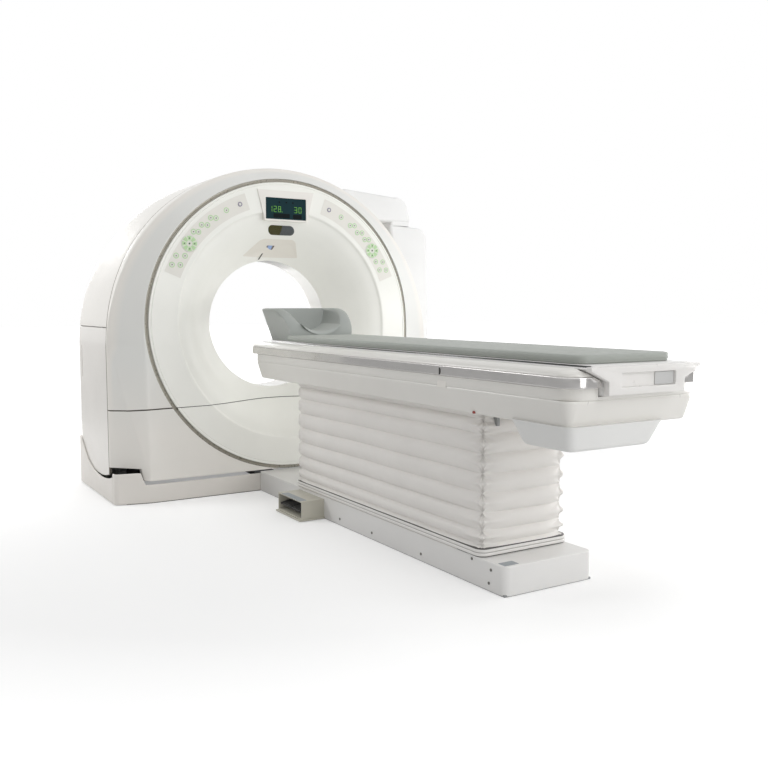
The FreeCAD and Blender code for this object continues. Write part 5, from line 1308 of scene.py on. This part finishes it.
def bellows_trim():
    """Frame that clamps the bellows: two rounded bands with a groove between them."""
    levels = [(112.3, 6), (112.6, 4.6), (115, 3.6), (116.4, 1), (119, 0), (124, 0), (127, 1),
              (128.3, 3), (129.3, 3), (130.4, 1.2), (133, 0.4), (137.5, 0.4), (140, 1.6),
              (141, 4.5), (144.4, 4.8), (144.8, 7), (144.8, 28), (112.3, 28)]
    loops = level_loops(levels, 221, -554, -2116, 40, 40)
    mesh_piece("bellows_clamp", "base", "trim_white", loops,
               [grid_faces(*loops.shape[:2], True, True)], sharp=50, node="bellows_trim")


def table_base():
    """Long low cover under the bellows, its edges rounded, with a small grey plate."""
    levels = [(3, 12), (3, 1.5), (4, 0.4), (6, 0)] + quarter_round(108, 4, 4, 6)
    plinth = mesh_piece("table_plinth", "base", "lower_white",
                        *stacked(level_loops(levels, 215, -95, -2250, 3, 30, 12)), sharp=40)
    window = prism_shell(box(-188, -2088, 188, -582), 2, 92, 140)
    dress(carve(plinth, loose_object("window", *window)), "base", "lower_white", 40,
          "table_base_cover")
    mesh_piece("rear_plate", "base", "label_grey",
               *rounded_prism(box(-203, -2236, -138, -2196), 3, 4, 2, 111.5, 112.8))


def foot_switch():
    """Hood with its lip, and two ribbed pedals."""
    refined("foot_switch_housing", "switch_hood", "base", "switch_beige", 3.5, 3)
    mesh_piece("switch_label", "base", "label_grey",
               *rounded_prism(box(-340, -850, -300, -640), 4, 4, 2, 97.6, 98.6))
    for name, body, low in (("raise_pedal", "raise_lever", -859),
                            ("lower_pedal", "lower_lever", -733)):
        refined(name, name + "_plate", body, "pedal_black", 1.5, 2)
        ribs = []
        for x in range(-320, -275, 9):
            top = 46 + (x + 328) * 0.215
            ribs.append(prism_shell([(x, top - 2), (x + 4, top - 1), (x + 3.4, top + 2.6),
                                     (x + 0.6, top + 2.2)], 1, low + 8, low + 116))
        mesh_piece(name + "_ribs", body, "pedal_black", *joined(*ribs))


# ------------------------------------------------------------------ studio
def inside():
    """Finishes of the CAD nodes that stay in view between and behind the covers."""
    for finish, *names in (
            # painted shade: the base frame takes the near-black copy of the frame steel, for the
            # shade it lies in
            ("frame_in_painted_shade", "base_frame"),
            ("frame_steel", "left_stand", "right_stand", "table_base_frame", "tilt_frame",
             "outer_lift_arms", "inner_lift_arms"),
            ("motor_grey", "tilt_gearmotor", "lift_actuator", "xray_tube", "power_unit"),
            ("bare_steel", "trunnion_shafts", "rotor_bearing", "counterweight"),
            ("screw_steel", "anchor_bolts", "table_base_screws"),
            ("cast_alloy", "rotor_ring", "detector"), ("slip_black", "slip_ring")):
        keep_node(finish, *names)


def lamp(name, place, aim, size, power):
    """A rectangular lamp that looks at a point."""
    data = bpy.data.lights.new(name, "AREA")
    data.shape = "RECTANGLE"
    data.size, data.size_y = size
    data.energy = power
    item = placed(name, data)
    item.location = place
    direction = Vector(aim) - Vector(place)
    item.rotation_euler = direction.to_track_quat("-Z", "Y").to_euler()
    return item


def world():
    """A world that lights softly, and is white to the camera, in mirrors and through glass."""
    sky = bpy.data.worlds.new("studio")
    bpy.context.scene.world = sky
    wiring = Wiring(sky)
    wiring.nodes.clear()
    path = wiring.add("LightPath").outputs
    dim, white = (wiring.add("Background", ("Color", (1, 1, 1, 1)), ("Strength", strength))
                  for strength in (WORLD_LIGHT, 1.0))
    seen = wiring.add("Math", (0, path["Is Camera Ray"]), (1, path["Is Transmission Ray"]),
                      operation="MAXIMUM")
    seen = wiring.add("Math", (0, seen.outputs[0]), (1, path["Is Glossy Ray"]),
                      operation="MAXIMUM")
    mix = wiring.add("MixShader", (0, seen.outputs[0]), (1, dim.outputs[0]),
                     (2, white.outputs[0]))
    wiring.add("OutputWorld", ("Surface", mix.outputs[0]))


def floor():
    """A pale floor that keeps the object's shadow, and fades to white with distance."""
    data = bpy.data.meshes.new("floor")
    reach = 40
    data.from_pydata([(-reach, -reach, 0), (reach, -reach, 0), (reach, reach, 0),
                      (-reach, reach, 0)], [], [(0, 1, 2, 3)])
    material = bpy.data.materials.new("pale_floor")
    wiring = Wiring(material)
    wiring.nodes.clear()
    diffuse = wiring.add("BsdfDiffuse", ("Color", (0.8, 0.8, 0.8, 1)))
    far = wiring.add("VectorMath", (0, wiring.add("TexCoord").outputs["Object"]),
                     operation="LENGTH")
    spread = wiring.add("MapRange", *enumerate((2.4, 5.5, 0.25, 1.0), 1),
                        (0, far.outputs["Value"]))
    glow = wiring.add("Emission", ("Strength", spread.outputs[0]))
    dark = wiring.add("Emission", ("Strength", 0.0))
    pick = wiring.add("MixShader", (0, wiring.add("LightPath").outputs["Is Camera Ray"]),
                      (1, dark.outputs[0]), (2, glow.outputs[0]))
    both = wiring.add("AddShader", (0, diffuse.outputs[0]), (1, pick.outputs[0]))
    wiring.add("OutputMaterial", ("Surface", both.outputs[0]))
    data.materials.append(material)
    return placed("floor", data)


def studio():
    """World, floor and seven soft lamps all round."""
    world()
    floor()
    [lamp(*row) for row in (
        ("top_lamp", (-0.5, -1, 6), (0, -0.5, 0.6), (5, 5), 63),
        ("front_lamp", (0.5, -7.5, 4.5), (0, 0, 1), (4, 3), 95),
        ("right_lamp", (5, -1.5, 2.5), (0, -0.5, 1), (3, 3), 47),
        ("low_lamp", (2.6, -2.6, 0.7), (0, 0, 0.9), (1.5, 1), 26),
        ("left_lamp", (-3.2, 1.6, 2.2), (-0.8, 0.4, 1.2), (1.2, 1.6), 37),
        ("end_lamp", (0.3, -6, 1.2), (0, -2.6, 0.6), (2, 1.5), 25),
        ("bore_lamp", (0, 3.5, 1.2), (0, 0, 0.9), (2, 2), 66))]


def photo_camera():
    """Camera at the photo's place."""
    data = bpy.data.cameras.new("photo_camera")
    data.lens, data.sensor_width = 40.88, 36
    data.clip_start, data.clip_end = 0.1, 200
    item = placed("photo_camera", data)
    item.location = (-2.172, -4.6091, 1.0397)
    item.rotation_euler = (math.radians(84.913), 0, math.radians(-31.607))
    bpy.context.scene.camera = item


painted_lines()
front_cover()
lower_front_cover()
seal_gap_shade()
dish()
ring_trim()
bore()
keys()
travelling_keys()
display()
fittings()
side_covers()
base_covers()
back()
table_body()
bright_strips()
table_details()
tabletop()
underslung()
mattress()
headrest()
headrest_cushion()
bellows()
bellows_trim()
table_base()
foot_switch()
inside()
studio()
photo_camera()
bpy.context.scene.view_settings.view_transform = "Standard"
bpy.context.view_layer.update()
